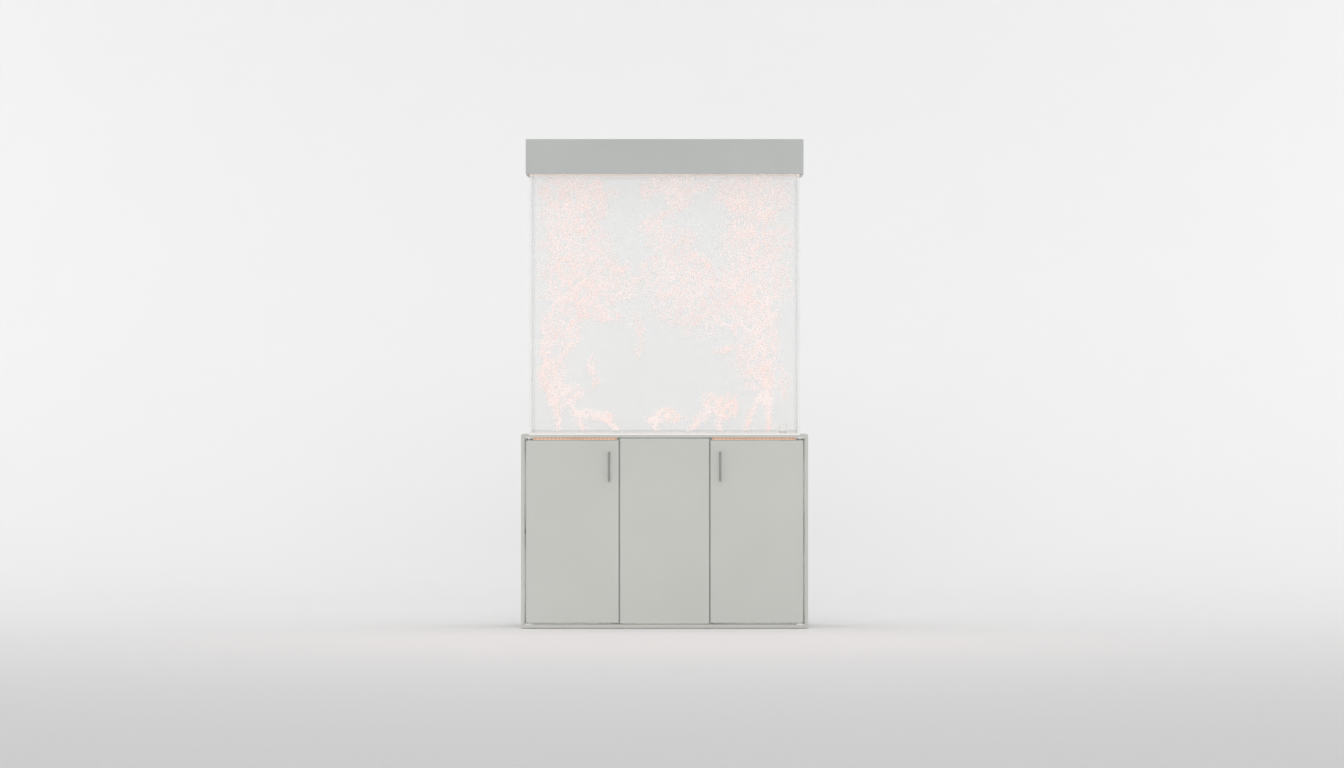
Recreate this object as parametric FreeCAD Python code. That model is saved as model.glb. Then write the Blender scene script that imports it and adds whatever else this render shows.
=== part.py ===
import FreeCAD, Part

import math
import os

# Tall display aquarium on a three-bay cabinet, with a lift-off lighting hood.
# Millimetres. +Z is up, the front faces -Y, and the origin lies on the floor midway
# between the outermost faces: the handles in front and the cabinet's back.

# ---------------------------------------------------------------- driving dimensions
# Cabinet carcass
CABINET_WIDTH = 1200.0
CABINET_DEPTH = 570.0
CABINET_HEIGHT = 810.0
SIDE_THICKNESS = 15.0
TOP_THICKNESS = 12.0
BOTTOM_THICKNESS = 15.0
BACK_THICKNESS = 8.0
DIVIDER_THICKNESS = 16.0
GLIDE_HEIGHT = 2.0
GLIDE_RADIUS = 20.0
GLIDE_INSET = 45.0
DOWEL_RADIUS = 4.0
DOWEL_DEPTH_THIN = 9.0
DOWEL_DEPTH_SIDE = 20.0
DOWELS_PER_JOINT = 3
DOWEL_INSET = 60.0

# Doors and fixed front panel
DOOR_THICKNESS = 18.0
CENTRE_PANEL_WIDTH = 372.0
DOOR_SIDE_GAP = 6.0
DOOR_CENTRE_GAP = 6.0
DOOR_TOP_REVEAL = 12.0
DOOR_BOTTOM_GAP = 7.0
CENTRE_PANEL_GAP = 4.0
FRONT_EDGE_ROUND = 0.8
PIVOT_SETBACK = 12.0
PIVOT_RADIUS = 4.0
PIVOT_DEPTH = 14.0
PIVOT_COLLAR_RADIUS = 7.0
PIVOT_PLATE = (30.0, 16.0, 3.0)
BUSH_WALL = 2.0
RUNNING_CLEARANCE = 0.05

# Bar handles
HANDLE_LENGTH = 124.0
HANDLE_WIDTH = 8.0
HANDLE_BAR_DEPTH = 8.0
HANDLE_REACH = 30.0
HANDLE_FROM_DOOR_EDGE = 40.0
HANDLE_BELOW_DOOR_TOP = 46.0
HANDLE_POST_RADIUS = 3.5
HANDLE_POST_INSET = 14.0
HANDLE_EDGE_ROUND = 1.0
SCREW_RADIUS = 2.0
SCREW_HEAD_RADIUS = 4.0
SCREW_HEAD_HEIGHT = 3.0
SCREW_BITE = 12.0
SCREW_HOLE_CLEARANCE = 0.2

# Magnetic catches, let-in strike plates and angle brackets
CATCH = (12.0, 20.0, 40.0)
CATCH_BELOW_DOOR_TOP = 46.0
STRIKE_THICKNESS = 1.5
STRIKE_MARGIN = 2.0
BRACKET_LEG = 30.0
BRACKET_WIDTH = 20.0
BRACKET_SHEET = 2.0
BRACKET_FROM_END = 120.0

# Shelf in the left bay
SHELF_THICKNESS = 16.0
SHELF_HEIGHT = 400.0
SHELF_SIDE_GAP = 1.0
SHELF_SETBACK = 40.0
SHELF_PIN_RADIUS = 2.5
SHELF_PIN_DEPTH = 8.0
SHELF_PIN_INSET = 60.0

# Cable port in the back panel
GROMMET_BORE_RADIUS = 26.0
GROMMET_WALL = 4.0
GROMMET_FLANGE = 5.0
GROMMET_FLANGE_THICKNESS = 3.0
GROMMET_HEIGHT = 600.0

# Warm accent lights behind the reveal over each door
ACCENT_DEPTH = 12.0
ACCENT_HEIGHT = 10.0
ACCENT_WALL = 1.5
ACCENT_SETBACK = 22.0
ACCENT_LENS = 2.0
ACCENT_LENS_HEIGHT = 9.0
ACCENT_END_GAP = 3.0

# Tank
TANK_WIDTH = 1134.0
TANK_DEPTH = 500.0
TANK_HEIGHT = 1101.5
GLASS = 12.0
BOTTOM_PANE = 10.0
MAT_THICKNESS = 3.0
SEAM = 5.0
BRACE_WIDTH = 40.0
BRACE_THICKNESS = 10.0
BRACE_BELOW_TOP = 14.0
TRIM_SKIRT = 2.0
TRIM_DROP = 10.0
TRIM_WEB = 2.0

# Bulkhead fittings through the bottom pane
FITTING_X = 500.0
FITTING_SPACING = 95.0
FITTING_FROM_BACK = 50.0
FITTING_TUBE_RADIUS = 15.0
FITTING_FLANGE_RADIUS = 24.0
FITTING_FLANGE = 5.0
FITTING_HOLE_CLEARANCE = 0.5
FITTING_NUT = 8.0
FITTING_NUT_CLEARANCE = 3.0
FITTING_TUBE_DROP = 23.0
FITTING_BARB = 26.0
BARB_WALL = 2.0
STRAINER_RADIUS = 18.0
STRAINER_HEIGHT = 26.0
STRAINER_WALL = 2.0
STRAINER_SLOTS = 8
STRAINER_SLOT = 3.0
CUT_OVERRUN = 1.0

# Hoses
HOSE_RADIUS = 11.0
HOSE_BORE_RADIUS = 8.0
BARB_CLEARANCE = 0.1
HOSE_ARC_SHARE = 0.45
HOSE_STRAIGHT_SHARE = 0.33
HOSE_END_GAP = 1.0

# Growths that stand in front of the back pane
GROWTH_DEPTH = 110.0
GROWTH_FROM_BACK = 6.0
CANOPY_DEPTH = 220.0
CANOPY_HEIGHT = 870.0
BUSH_DEPTH = 60.0
BUSH_GAP = 18.0
GROWTH_TOP_CLEARANCE = 12.0
CROWN_SIDE_CLEARANCE = 6.0

# Hood
HOOD_HEIGHT = 146.0
HOOD_WALL = 11.0
HOOD_CLEARANCE = 1.0
HOOD_BACK_SLOT = 31.0
LEDGE = 15.0
LID_THICKNESS = 10.0
LID_GAP = 1.5
LID_JOINT_GAP = 2.0
LID_STOP = 12.0
REAR_STRIP_DEPTH = 120.0
NOTCH_RADIUS = 28.0
HINGE_WIDTH = 90.0
HINGE_LEAF = 26.0
HINGE_SHEET = 1.5
HINGE_KNUCKLE_RADIUS = 3.0
HINGE_PIN_RADIUS = 1.5
HINGE_LIFT = 0.3
HINGE_KNUCKLES = 5
HINGE_KNUCKLE_GAP = 0.3
HINGE_TAB_ROOT = 1.0
HINGE_SPACING = 700.0
LIGHT_WIDTH = 120.0
LIGHT_HEIGHT = 24.0
LIGHT_BELOW_TOP = 62.0
LIGHT_WALL = 3.0
LIGHT_LENS = 4.0
GLAND_BORE_RADIUS = 4.0
GLAND_RADIUS = 8.0
GLAND_FLANGE_RADIUS = 12.0
GLAND_FLANGE = 3.0
GLAND_TIP = 12.0

# Canister filter in the right bay
FILTER_SIDE = 200.0
FILTER_CORNER = 40.0
FILTER_WALL = 4.0
FILTER_HEIGHT = 270.0
FILTER_FOOT = 5.0
FILTER_FOOT_RADIUS = 10.0
MEDIA_GAP = 1.0
FILTER_X = 385.0
FILTER_Y = 120.0
HEAD_HEIGHT = 75.0
CHAMBER_RADIUS = 26.0
CHAMBER_DEPTH = 46.0
IMPELLER_RADIUS = 20.0
IMPELLER_HUB_RADIUS = 8.0
IMPELLER_HEIGHT = 34.0
IMPELLER_BLADES = 6
IMPELLER_BLADE = 2.0
IMPELLER_BLADE_ROOT = 1.0
SHAFT_RADIUS = 2.0
SHAFT_SEAT = 6.0
SHAFT_COLLAR_HEIGHT = 1.0
SHAFT_COLLAR_WALL = 2.0
PRIMER_RADIUS = 14.0
PRIMER_RISE = 18.0
PRIMER_SUNK = 22.0
PRIMER_TRAVEL = 15.0
PRIMER_FROM_CENTRE = 62.0
PRIMER_SPARE = 2.0
PRIMER_ROUND = 3.0
VALVE_BLOCK = (50.0, 100.0, 36.0)
VALVE_INSET = 15.0
PORT_SPACING = 60.0
PORT_BARB = 28.0
PORT_ROOT = 2.0
PORT_DEPTH = 8.0
LEVER_PIN_RADIUS = 4.0
LEVER_PIN_DEPTH = 14.0
LEVER_PIN_SPARE = 1.0
LEVER_ARM_HALF = 6.0
LEVER_DISC_RADIUS = 12.0
LEVER_THICKNESS = 6.0
LEVER_LENGTH = 60.0
LEVER_GAP = 0.5
CLAMP_WIDTH = 44.0
CLAMP_THICKNESS = 6.0
CLAMP_LENGTH = 46.0
CLAMP_PIN_RADIUS = 3.0
CLAMP_PIN_LENGTH = 7.0
CLAMP_STANDOFF = 8.0
CLAMP_ABOVE_JOINT = 20.0
LUG_WIDTH = 8.0
LUG_GAP = 0.5
LUG_ROOT = 4.0
LUG_TIP = 3.0
LUG_HALF_HEIGHT = 6.0

# ---------------------------------------------------------------- derived places
FRONT = -(CABINET_DEPTH - HANDLE_REACH) / 2
BACK = FRONT + CABINET_DEPTH
HALF_WIDTH = CABINET_WIDTH / 2
INNER_HALF = HALF_WIDTH - SIDE_THICKNESS
FLOOR_TOP = GLIDE_HEIGHT + BOTTOM_THICKNESS
CEILING = CABINET_HEIGHT - TOP_THICKNESS
DOOR_BACK = FRONT + DOOR_THICKNESS
DOOR_BOTTOM = FLOOR_TOP + DOOR_BOTTOM_GAP
DOOR_TOP = CEILING - DOOR_TOP_REVEAL
DOOR_OUTER = INNER_HALF - DOOR_SIDE_GAP
DOOR_INNER = CENTRE_PANEL_WIDTH / 2 + DOOR_CENTRE_GAP
DIVIDER_X = CENTRE_PANEL_WIDTH / 2 + DOOR_CENTRE_GAP / 2
DIVIDER_OUTER = DIVIDER_X + DIVIDER_THICKNESS / 2
DIVIDER_INNER = DIVIDER_X - DIVIDER_THICKNESS / 2
BACK_PANEL_FRONT = BACK - BACK_THICKNESS
PIVOT_X = DOOR_OUTER - PIVOT_SETBACK
PIVOT_Y = FRONT + DOOR_THICKNESS / 2

TANK_HALF = TANK_WIDTH / 2
TANK_FRONT = FRONT + (CABINET_DEPTH - TANK_DEPTH) / 2
TANK_BACK = TANK_FRONT + TANK_DEPTH
TANK_Y = (TANK_FRONT + TANK_BACK) / 2
TANK_BASE = CABINET_HEIGHT + MAT_THICKNESS
TANK_FLOOR = TANK_BASE + BOTTOM_PANE
TANK_TOP = TANK_BASE + TANK_HEIGHT
BRACE_TOP = TANK_TOP - BRACE_BELOW_TOP
BRACE_BOTTOM = BRACE_TOP - BRACE_THICKNESS
TRIM_TOP = TANK_TOP + TRIM_WEB

HOOD_BASE = BRACE_TOP
HOOD_TOP = HOOD_BASE + HOOD_HEIGHT
HOOD_INNER_HALF = TANK_HALF + TRIM_SKIRT + HOOD_CLEARANCE
HOOD_HALF = HOOD_INNER_HALF + HOOD_WALL
HOOD_INNER_FRONT = TANK_FRONT - TRIM_SKIRT - HOOD_CLEARANCE
HOOD_INNER_BACK = TANK_BACK + TRIM_SKIRT + HOOD_CLEARANCE
HOOD_FRONT = HOOD_INNER_FRONT - HOOD_WALL
HOOD_BACK = HOOD_INNER_BACK + HOOD_WALL
LID_BOTTOM = HOOD_TOP - LID_THICKNESS
STRIP_FRONT = HOOD_INNER_BACK - REAR_STRIP_DEPTH
LID_BACK = STRIP_FRONT - LID_JOINT_GAP
HINGE_Y = STRIP_FRONT - LID_JOINT_GAP / 2
HINGE_Z = HOOD_TOP + HINGE_KNUCKLE_RADIUS + HINGE_LIFT
LIGHT_TOP = HOOD_TOP - LIGHT_BELOW_TOP
LIGHT_BASE = LIGHT_TOP - LIGHT_HEIGHT

FITTINGS_Y = [TANK_BACK - GLASS - FITTING_FROM_BACK - i * FITTING_SPACING for i in range(2)]
FITTING_TUBE_END = TANK_BASE - FITTING_TUBE_DROP
FITTING_END = FITTING_TUBE_END - FITTING_BARB
BARB_RADIUS = HOSE_BORE_RADIUS - BARB_CLEARANCE

CANISTER_BASE = FLOOR_TOP + FILTER_FOOT
CANISTER_TOP = CANISTER_BASE + FILTER_HEIGHT
HEAD_TOP = CANISTER_TOP + HEAD_HEIGHT
VALVE_TOP = HEAD_TOP + VALVE_BLOCK[2]
VALVE_X = FILTER_X + FILTER_SIDE / 2 - VALVE_BLOCK[0] / 2 - VALVE_INSET
PORTS_Y = [FILTER_Y + PORT_SPACING / 2, FILTER_Y - PORT_SPACING / 2]
CLAMP_Z = CANISTER_TOP + CLAMP_ABOVE_JOINT

Z_AXIS = FreeCAD.Vector(0, 0, 1)


# ---------------------------------------------------------------- shape helpers
def vector(x, y, z):
    return FreeCAD.Vector(x, y, z)


def box(x0, x1, y0, y1, z0, z1):
    return Part.makeBox(x1 - x0, y1 - y0, z1 - z0, vector(x0, y0, z0))


def centred_box(x, y, z, size_x, size_y, size_z):
    return box(x - size_x / 2, x + size_x / 2, y - size_y / 2, y + size_y / 2, z, z + size_z)


def rod_x(radius, x0, x1, y, z):
    return Part.makeCylinder(radius, x1 - x0, vector(x0, y, z), vector(1, 0, 0))


def rod_y(radius, y0, y1, x, z):
    return Part.makeCylinder(radius, y1 - y0, vector(x, y0, z), vector(0, 1, 0))


def rod_z(radius, z0, z1, x, y):
    return Part.makeCylinder(radius, z1 - z0, vector(x, y, z0), Z_AXIS)


def rounded_prism(x, y, side, corner, z0, z1):
    block = centred_box(x, y, z0, side, side, z1 - z0)
    uprights = [e for e in block.Edges if abs(e.tangentAt(e.FirstParameter).z) > 0.9]
    return block.makeFillet(corner, uprights)


def ease_front_edges(board, radius):
    """Round the long edges of a board that lie on its front face."""
    face_y = board.BoundBox.YMin
    edges = [e for e in board.Edges if abs(e.BoundBox.YMax - face_y) < 1e-6]
    return board.makeFillet(radius, edges)


def mirrored(shape):
    return shape.mirror(vector(0, 0, 0), vector(1, 0, 0))


def cut(body, tools):
    return body.cut(tools)


def save(node, solids):
    for solid in solids:
        if not solid.isValid() or solid.Volume <= 0:
            raise ValueError(node + " has a solid that is not valid")
    shape = solids[0] if len(solids) == 1 else Part.makeCompound(solids)
    shape.exportStep("parts/" + node + ".step")


def single(shape):
    """The one solid that a boolean result holds."""
    solids = shape.Solids
    if len(solids) != 1:
        raise ValueError("expected one solid, found " + str(len(solids)))
    return solids[0]


# ---------------------------------------------------------------- cabinet carcass
def dowel_places():
    """Each dowel's x and y, three in a row over each upright board."""
    first = DOOR_BACK + DOWEL_INSET
    last = BACK_PANEL_FRONT - DOWEL_INSET
    step = (last - first) / (DOWELS_PER_JOINT - 1)
    rows = [first + i * step for i in range(DOWELS_PER_JOINT)]
    uprights = [-INNER_HALF - SIDE_THICKNESS / 2, -DIVIDER_X, DIVIDER_X, INNER_HALF + SIDE_THICKNESS / 2]
    return [(x, y) for x in uprights for y in rows]


def dowels():
    pegs = []
    for x, y in dowel_places():
        pegs.append(rod_z(DOWEL_RADIUS, CEILING - DOWEL_DEPTH_SIDE, CEILING + DOWEL_DEPTH_THIN, x, y))
        pegs.append(rod_z(DOWEL_RADIUS, FLOOR_TOP - DOWEL_DEPTH_THIN, FLOOR_TOP + DOWEL_DEPTH_SIDE, x, y))
    return pegs


def shelf_pin_places():
    """Each pin's y, and the side of the bay that it is pushed into."""
    ys = [DOOR_BACK + SHELF_SETBACK + SHELF_PIN_INSET, BACK_PANEL_FRONT - SHELF_PIN_INSET]
    return [(side, y) for side in ("side", "divider") for y in ys]


def shelf_pins():
    z = SHELF_HEIGHT - SHELF_PIN_RADIUS
    pins = []
    for side, y in shelf_pin_places():
        wall = -INNER_HALF if side == "side" else -DIVIDER_OUTER
        pins.append(rod_x(SHELF_PIN_RADIUS, wall - SHELF_PIN_DEPTH, wall + SHELF_PIN_DEPTH, y, z))
    return pins


def build_carcass():
    pegs = dowels()
    pins = shelf_pins()
    side = box(-HALF_WIDTH, -INNER_HALF, FRONT, BACK, FLOOR_TOP, CEILING)
    save("cabinet_left_side", [single(cut(ease_front_edges(side, FRONT_EDGE_ROUND), pegs + pins))])
    right = mirrored(ease_front_edges(side, FRONT_EDGE_ROUND))
    save("cabinet_right_side", [single(cut(right, pegs))])

    top = box(-HALF_WIDTH, HALF_WIDTH, FRONT, BACK, CEILING, CABINET_HEIGHT)
    nut_clear = FITTING_FLANGE_RADIUS + FITTING_NUT_CLEARANCE
    pipe_holes = [rod_z(nut_clear, CEILING, CABINET_HEIGHT, FITTING_X, y) for y in FITTINGS_Y]
    save("cabinet_top", [single(cut(ease_front_edges(top, FRONT_EDGE_ROUND), pegs + pipe_holes))])

    bottom = box(-HALF_WIDTH, HALF_WIDTH, FRONT, BACK, GLIDE_HEIGHT, FLOOR_TOP)
    save("cabinet_bottom", [single(cut(ease_front_edges(bottom, FRONT_EDGE_ROUND), pegs))])

    back = box(-INNER_HALF, INNER_HALF, BACK_PANEL_FRONT, BACK, FLOOR_TOP, CEILING)
    port_x = -(DIVIDER_OUTER + INNER_HALF) / 2
    sleeve_radius = GROMMET_BORE_RADIUS + GROMMET_WALL
    port = rod_y(sleeve_radius, BACK_PANEL_FRONT, BACK, port_x, GROMMET_HEIGHT)
    save("cabinet_back", [single(cut(back, [port]))])
    flange = rod_y(sleeve_radius + GROMMET_FLANGE, BACK_PANEL_FRONT - GROMMET_FLANGE_THICKNESS,
                   BACK_PANEL_FRONT, port_x, GROMMET_HEIGHT)
    bore = rod_y(GROMMET_BORE_RADIUS, BACK_PANEL_FRONT - GROMMET_FLANGE_THICKNESS, BACK,
                 port_x, GROMMET_HEIGHT)
    save("cable_port_grommet", [single(cut(port.fuse(flange), [bore]))])

    divider = box(-DIVIDER_OUTER, -DIVIDER_INNER, DOOR_BACK, BACK_PANEL_FRONT, FLOOR_TOP, CEILING)
    save("left_divider", [single(cut(divider, pegs + pins))])
    save("right_divider", [single(cut(mirrored(divider), pegs))])
    save("carcass_dowels", pegs)

    shelf = box(-INNER_HALF + SHELF_SIDE_GAP, -DIVIDER_OUTER - SHELF_SIDE_GAP, DOOR_BACK + SHELF_SETBACK,
                BACK_PANEL_FRONT, SHELF_HEIGHT, SHELF_HEIGHT + SHELF_THICKNESS)
    save("left_shelf", [ease_front_edges(shelf, FRONT_EDGE_ROUND)])

    glides = []
    span_y = CABINET_DEPTH - 2 * GLIDE_INSET
    for x in (-HALF_WIDTH + GLIDE_INSET, -DIVIDER_X, DIVIDER_X, HALF_WIDTH - GLIDE_INSET):
        for y in (FRONT + GLIDE_INSET, FRONT + GLIDE_INSET + span_y):
            glides.append(rod_z(GLIDE_RADIUS, 0.0, GLIDE_HEIGHT, x, y))
    save("floor_glides", glides)


def panel_brackets():
    """Steel angles that hold the centre panel to the inner faces of the dividers."""
    brackets = []
    inner = -DIVIDER_INNER
    for z in (FLOOR_TOP + BRACKET_FROM_END, CEILING - BRACKET_FROM_END - BRACKET_WIDTH):
        top = z + BRACKET_WIDTH
        leg_side = box(inner, inner + BRACKET_SHEET, DOOR_BACK, DOOR_BACK + BRACKET_LEG, z, top)
        leg_front = box(inner, inner + BRACKET_LEG, DOOR_BACK, DOOR_BACK + BRACKET_SHEET, z, top)
        angle = single(leg_side.fuse(leg_front).removeSplitter())
        brackets += [angle, mirrored(angle)]
    return brackets


def build_centre_panel():
    half = CENTRE_PANEL_WIDTH / 2
    panel = box(-half, half, FRONT, DOOR_BACK, FLOOR_TOP + CENTRE_PANEL_GAP, CEILING - CENTRE_PANEL_GAP)
    save("centre_front_panel", [ease_front_edges(panel, FRONT_EDGE_ROUND)])


# ---------------------------------------------------------------- doors
def catch_block():
    z = DOOR_TOP - CATCH_BELOW_DOOR_TOP - CATCH[2]
    return box(-DIVIDER_OUTER - CATCH[0], -DIVIDER_OUTER, DOOR_BACK, DOOR_BACK + CATCH[1], z, z + CATCH[2])


def strike_plate():
    block = catch_block().BoundBox
    return box(block.XMin - STRIKE_MARGIN, block.XMax + STRIKE_MARGIN, DOOR_BACK - STRIKE_THICKNESS,
               DOOR_BACK, block.ZMin - STRIKE_MARGIN, block.ZMax + STRIKE_MARGIN)


def handle_post_heights():
    top = DOOR_TOP - HANDLE_BELOW_DOOR_TOP
    return [top - HANDLE_POST_INSET, top - HANDLE_LENGTH + HANDLE_POST_INSET]


def left_handle():
    x = -(DOOR_INNER + HANDLE_FROM_DOOR_EDGE)
    top = DOOR_TOP - HANDLE_BELOW_DOOR_TOP
    bar_front = FRONT - HANDLE_REACH
    bar = box(x - HANDLE_WIDTH / 2, x + HANDLE_WIDTH / 2, bar_front, bar_front + HANDLE_BAR_DEPTH,
              top - HANDLE_LENGTH, top)
    solid = bar.makeFillet(HANDLE_EDGE_ROUND, bar.Edges)
    threads = []
    for z in handle_post_heights():
        post_start = bar_front + HANDLE_BAR_DEPTH / 2
        solid = solid.fuse(rod_y(HANDLE_POST_RADIUS, post_start, FRONT, x, z))
        threads.append(rod_y(SCREW_RADIUS, FRONT - SCREW_BITE, FRONT, x, z))
    return single(cut(solid, threads))


def left_handle_screws():
    x = -(DOOR_INNER + HANDLE_FROM_DOOR_EDGE)
    screws = []
    for z in handle_post_heights():
        shank = rod_y(SCREW_RADIUS, FRONT - SCREW_BITE, DOOR_BACK, x, z)
        head = rod_y(SCREW_HEAD_RADIUS, DOOR_BACK, DOOR_BACK + SCREW_HEAD_HEIGHT, x, z)
        screws.append(single(shank.fuse(head)))
    return screws


def door_bushes():
    """Plain bushes let into the door's two ends, for the pivot pins."""
    outer = PIVOT_RADIUS + RUNNING_CLEARANCE + BUSH_WALL
    depth = PIVOT_DEPTH + BUSH_WALL
    bushes = []
    for z0 in (DOOR_BOTTOM, DOOR_TOP - depth):
        sleeve = rod_z(outer, z0, z0 + depth, -PIVOT_X, PIVOT_Y)
        bore = rod_z(PIVOT_RADIUS + RUNNING_CLEARANCE, z0, z0 + depth, -PIVOT_X, PIVOT_Y)
        bushes.append(single(sleeve.cut(bore)))
    return bushes


def pivot_pins():
    """The lower pin carries the door on its collar, and the upper one only guides it."""
    plate_x, plate_y, plate_z = PIVOT_PLATE
    lower = centred_box(-PIVOT_X, PIVOT_Y, FLOOR_TOP, plate_x, plate_y, plate_z)
    lower = lower.fuse(rod_z(PIVOT_COLLAR_RADIUS, FLOOR_TOP, DOOR_BOTTOM, -PIVOT_X, PIVOT_Y))
    lower = lower.fuse(rod_z(PIVOT_RADIUS, FLOOR_TOP, DOOR_BOTTOM + PIVOT_DEPTH, -PIVOT_X, PIVOT_Y))
    upper = centred_box(-PIVOT_X, PIVOT_Y, CEILING - plate_z, plate_x, plate_y, plate_z)
    upper = upper.fuse(rod_z(PIVOT_RADIUS, DOOR_TOP - PIVOT_DEPTH, CEILING, -PIVOT_X, PIVOT_Y))
    return [single(lower), single(upper)]


def left_door_panel():
    panel = box(-DOOR_OUTER, -DOOR_INNER, FRONT, DOOR_BACK, DOOR_BOTTOM, DOOR_TOP)
    panel = ease_front_edges(panel, FRONT_EDGE_ROUND)
    x = -(DOOR_INNER + HANDLE_FROM_DOOR_EDGE)
    tools = [strike_plate()]
    depth = PIVOT_DEPTH + BUSH_WALL
    bush_radius = PIVOT_RADIUS + RUNNING_CLEARANCE + BUSH_WALL
    for z0 in (DOOR_BOTTOM, DOOR_TOP - depth):
        tools.append(rod_z(bush_radius, z0, z0 + depth, -PIVOT_X, PIVOT_Y))
    for z in handle_post_heights():
        tools.append(rod_y(SCREW_RADIUS + SCREW_HOLE_CLEARANCE, FRONT, DOOR_BACK, x, z))
    return single(cut(panel, tools))


def build_doors():
    left_solids = {
        "door_panel": [left_door_panel()],
        "door_handle": [left_handle()],
        "door_fittings": door_bushes() + left_handle_screws() + [strike_plate()],
    }
    for name, solids in left_solids.items():
        save("left_" + name, solids)
        save("right_" + name, [mirrored(solid) for solid in solids])
    pins = pivot_pins()
    save("door_pivots", pins + [mirrored(pin) for pin in pins])
    catches = [catch_block(), mirrored(catch_block())]
    save("cabinet_hardware", catches + panel_brackets() + shelf_pins())


def build_accent_lights():
    channels = []
    lenses = []
    x0 = -(PIVOT_X - PIVOT_PLATE[0] / 2 - ACCENT_END_GAP)
    x1 = -(DIVIDER_OUTER + ACCENT_END_GAP)
    y0 = FRONT + ACCENT_SETBACK
    z0 = CEILING - ACCENT_HEIGHT
    outer = box(x0, x1, y0, y0 + ACCENT_DEPTH, z0, CEILING)
    hollow = box(x0, x1, y0, y0 + ACCENT_DEPTH - ACCENT_WALL, z0 + ACCENT_WALL, CEILING - ACCENT_WALL)
    channel = single(outer.cut(hollow))
    lens = box(x0, x1, y0 - ACCENT_LENS, y0, CEILING - ACCENT_LENS_HEIGHT, CEILING)
    for shape, group in ((channel, channels), (lens, lenses)):
        group += [shape, mirrored(shape)]
    save("accent_light_channels", channels)
    save("accent_light_lenses", lenses)


# ---------------------------------------------------------------- tank
def build_tank():
    holes = [rod_z(FITTING_TUBE_RADIUS + FITTING_HOLE_CLEARANCE, TANK_BASE, TANK_FLOOR, FITTING_X, y)
             for y in FITTINGS_Y]
    nut_clear = FITTING_FLANGE_RADIUS + FITTING_NUT_CLEARANCE
    mat_holes = [rod_z(nut_clear, CABINET_HEIGHT, TANK_BASE, FITTING_X, y) for y in FITTINGS_Y]
    mat = box(-TANK_HALF, TANK_HALF, TANK_FRONT, TANK_BACK, CABINET_HEIGHT, TANK_BASE)
    save("tank_mat", [single(cut(mat, mat_holes))])

    inner_half = TANK_HALF - GLASS
    inner_front = TANK_FRONT + GLASS
    inner_back = TANK_BACK - GLASS
    floor = box(-inner_half, inner_half, inner_front, inner_back, TANK_BASE, TANK_FLOOR)
    save("tank_bottom_pane", [single(cut(floor, holes))])
    save("tank_front_pane", [box(-TANK_HALF, TANK_HALF, TANK_FRONT, inner_front, TANK_BASE, TANK_TOP)])
    save("tank_back_pane", [box(-TANK_HALF, TANK_HALF, inner_back, TANK_BACK, TANK_BASE, TANK_TOP)])
    left = box(-TANK_HALF, -inner_half, inner_front, inner_back, TANK_BASE, TANK_TOP)
    save("tank_left_pane", [left])
    save("tank_right_pane", [mirrored(left)])

    ring = box(-inner_half, inner_half, inner_front, inner_back, TANK_FLOOR, TANK_FLOOR + SEAM)
    corners = []
    for inset, z in ((SEAM, TANK_FLOOR), (0.0, TANK_FLOOR + SEAM)):
        points = [
            vector(-inner_half + inset, inner_front + inset, z),
            vector(inner_half - inset, inner_front + inset, z),
            vector(inner_half - inset, inner_back - inset, z),
            vector(-inner_half + inset, inner_back - inset, z),
        ]
        corners.append(Part.makePolygon(points + points[:1]))
    seams = ring.cut(Part.makeLoft(corners, True, True))
    for x, dx in ((-inner_half, SEAM), (inner_half, -SEAM)):
        for y, dy in ((inner_front, SEAM), (inner_back, -SEAM)):
            z = TANK_FLOOR
            triangle = [vector(x, y, z), vector(x + dx, y, z), vector(x, y + dy, z)]
            face = Part.Face(Part.makePolygon(triangle + triangle[:1]))
            seams = seams.fuse(face.extrude(vector(0, 0, BRACE_BOTTOM - z)))
    save("tank_seams", [single(seams)])

    brace = box(-inner_half, inner_half, inner_front, inner_back, BRACE_BOTTOM, BRACE_TOP)
    opening = box(-inner_half + BRACE_WIDTH, inner_half - BRACE_WIDTH, inner_front + BRACE_WIDTH,
                  inner_back - BRACE_WIDTH, BRACE_BOTTOM, BRACE_TOP)
    save("tank_brace", [single(brace.cut(opening))])

    trim = box(-TANK_HALF - TRIM_SKIRT, TANK_HALF + TRIM_SKIRT, TANK_FRONT - TRIM_SKIRT,
               TANK_BACK + TRIM_SKIRT, TANK_TOP - TRIM_DROP, TRIM_TOP)
    glass = box(-TANK_HALF, TANK_HALF, TANK_FRONT, TANK_BACK, TANK_TOP - TRIM_DROP, TANK_TOP)
    mouth = box(-inner_half, inner_half, inner_front, inner_back, TANK_TOP, TRIM_TOP)
    save("tank_rim_trim", [single(cut(trim, [glass, mouth]))])


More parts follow.
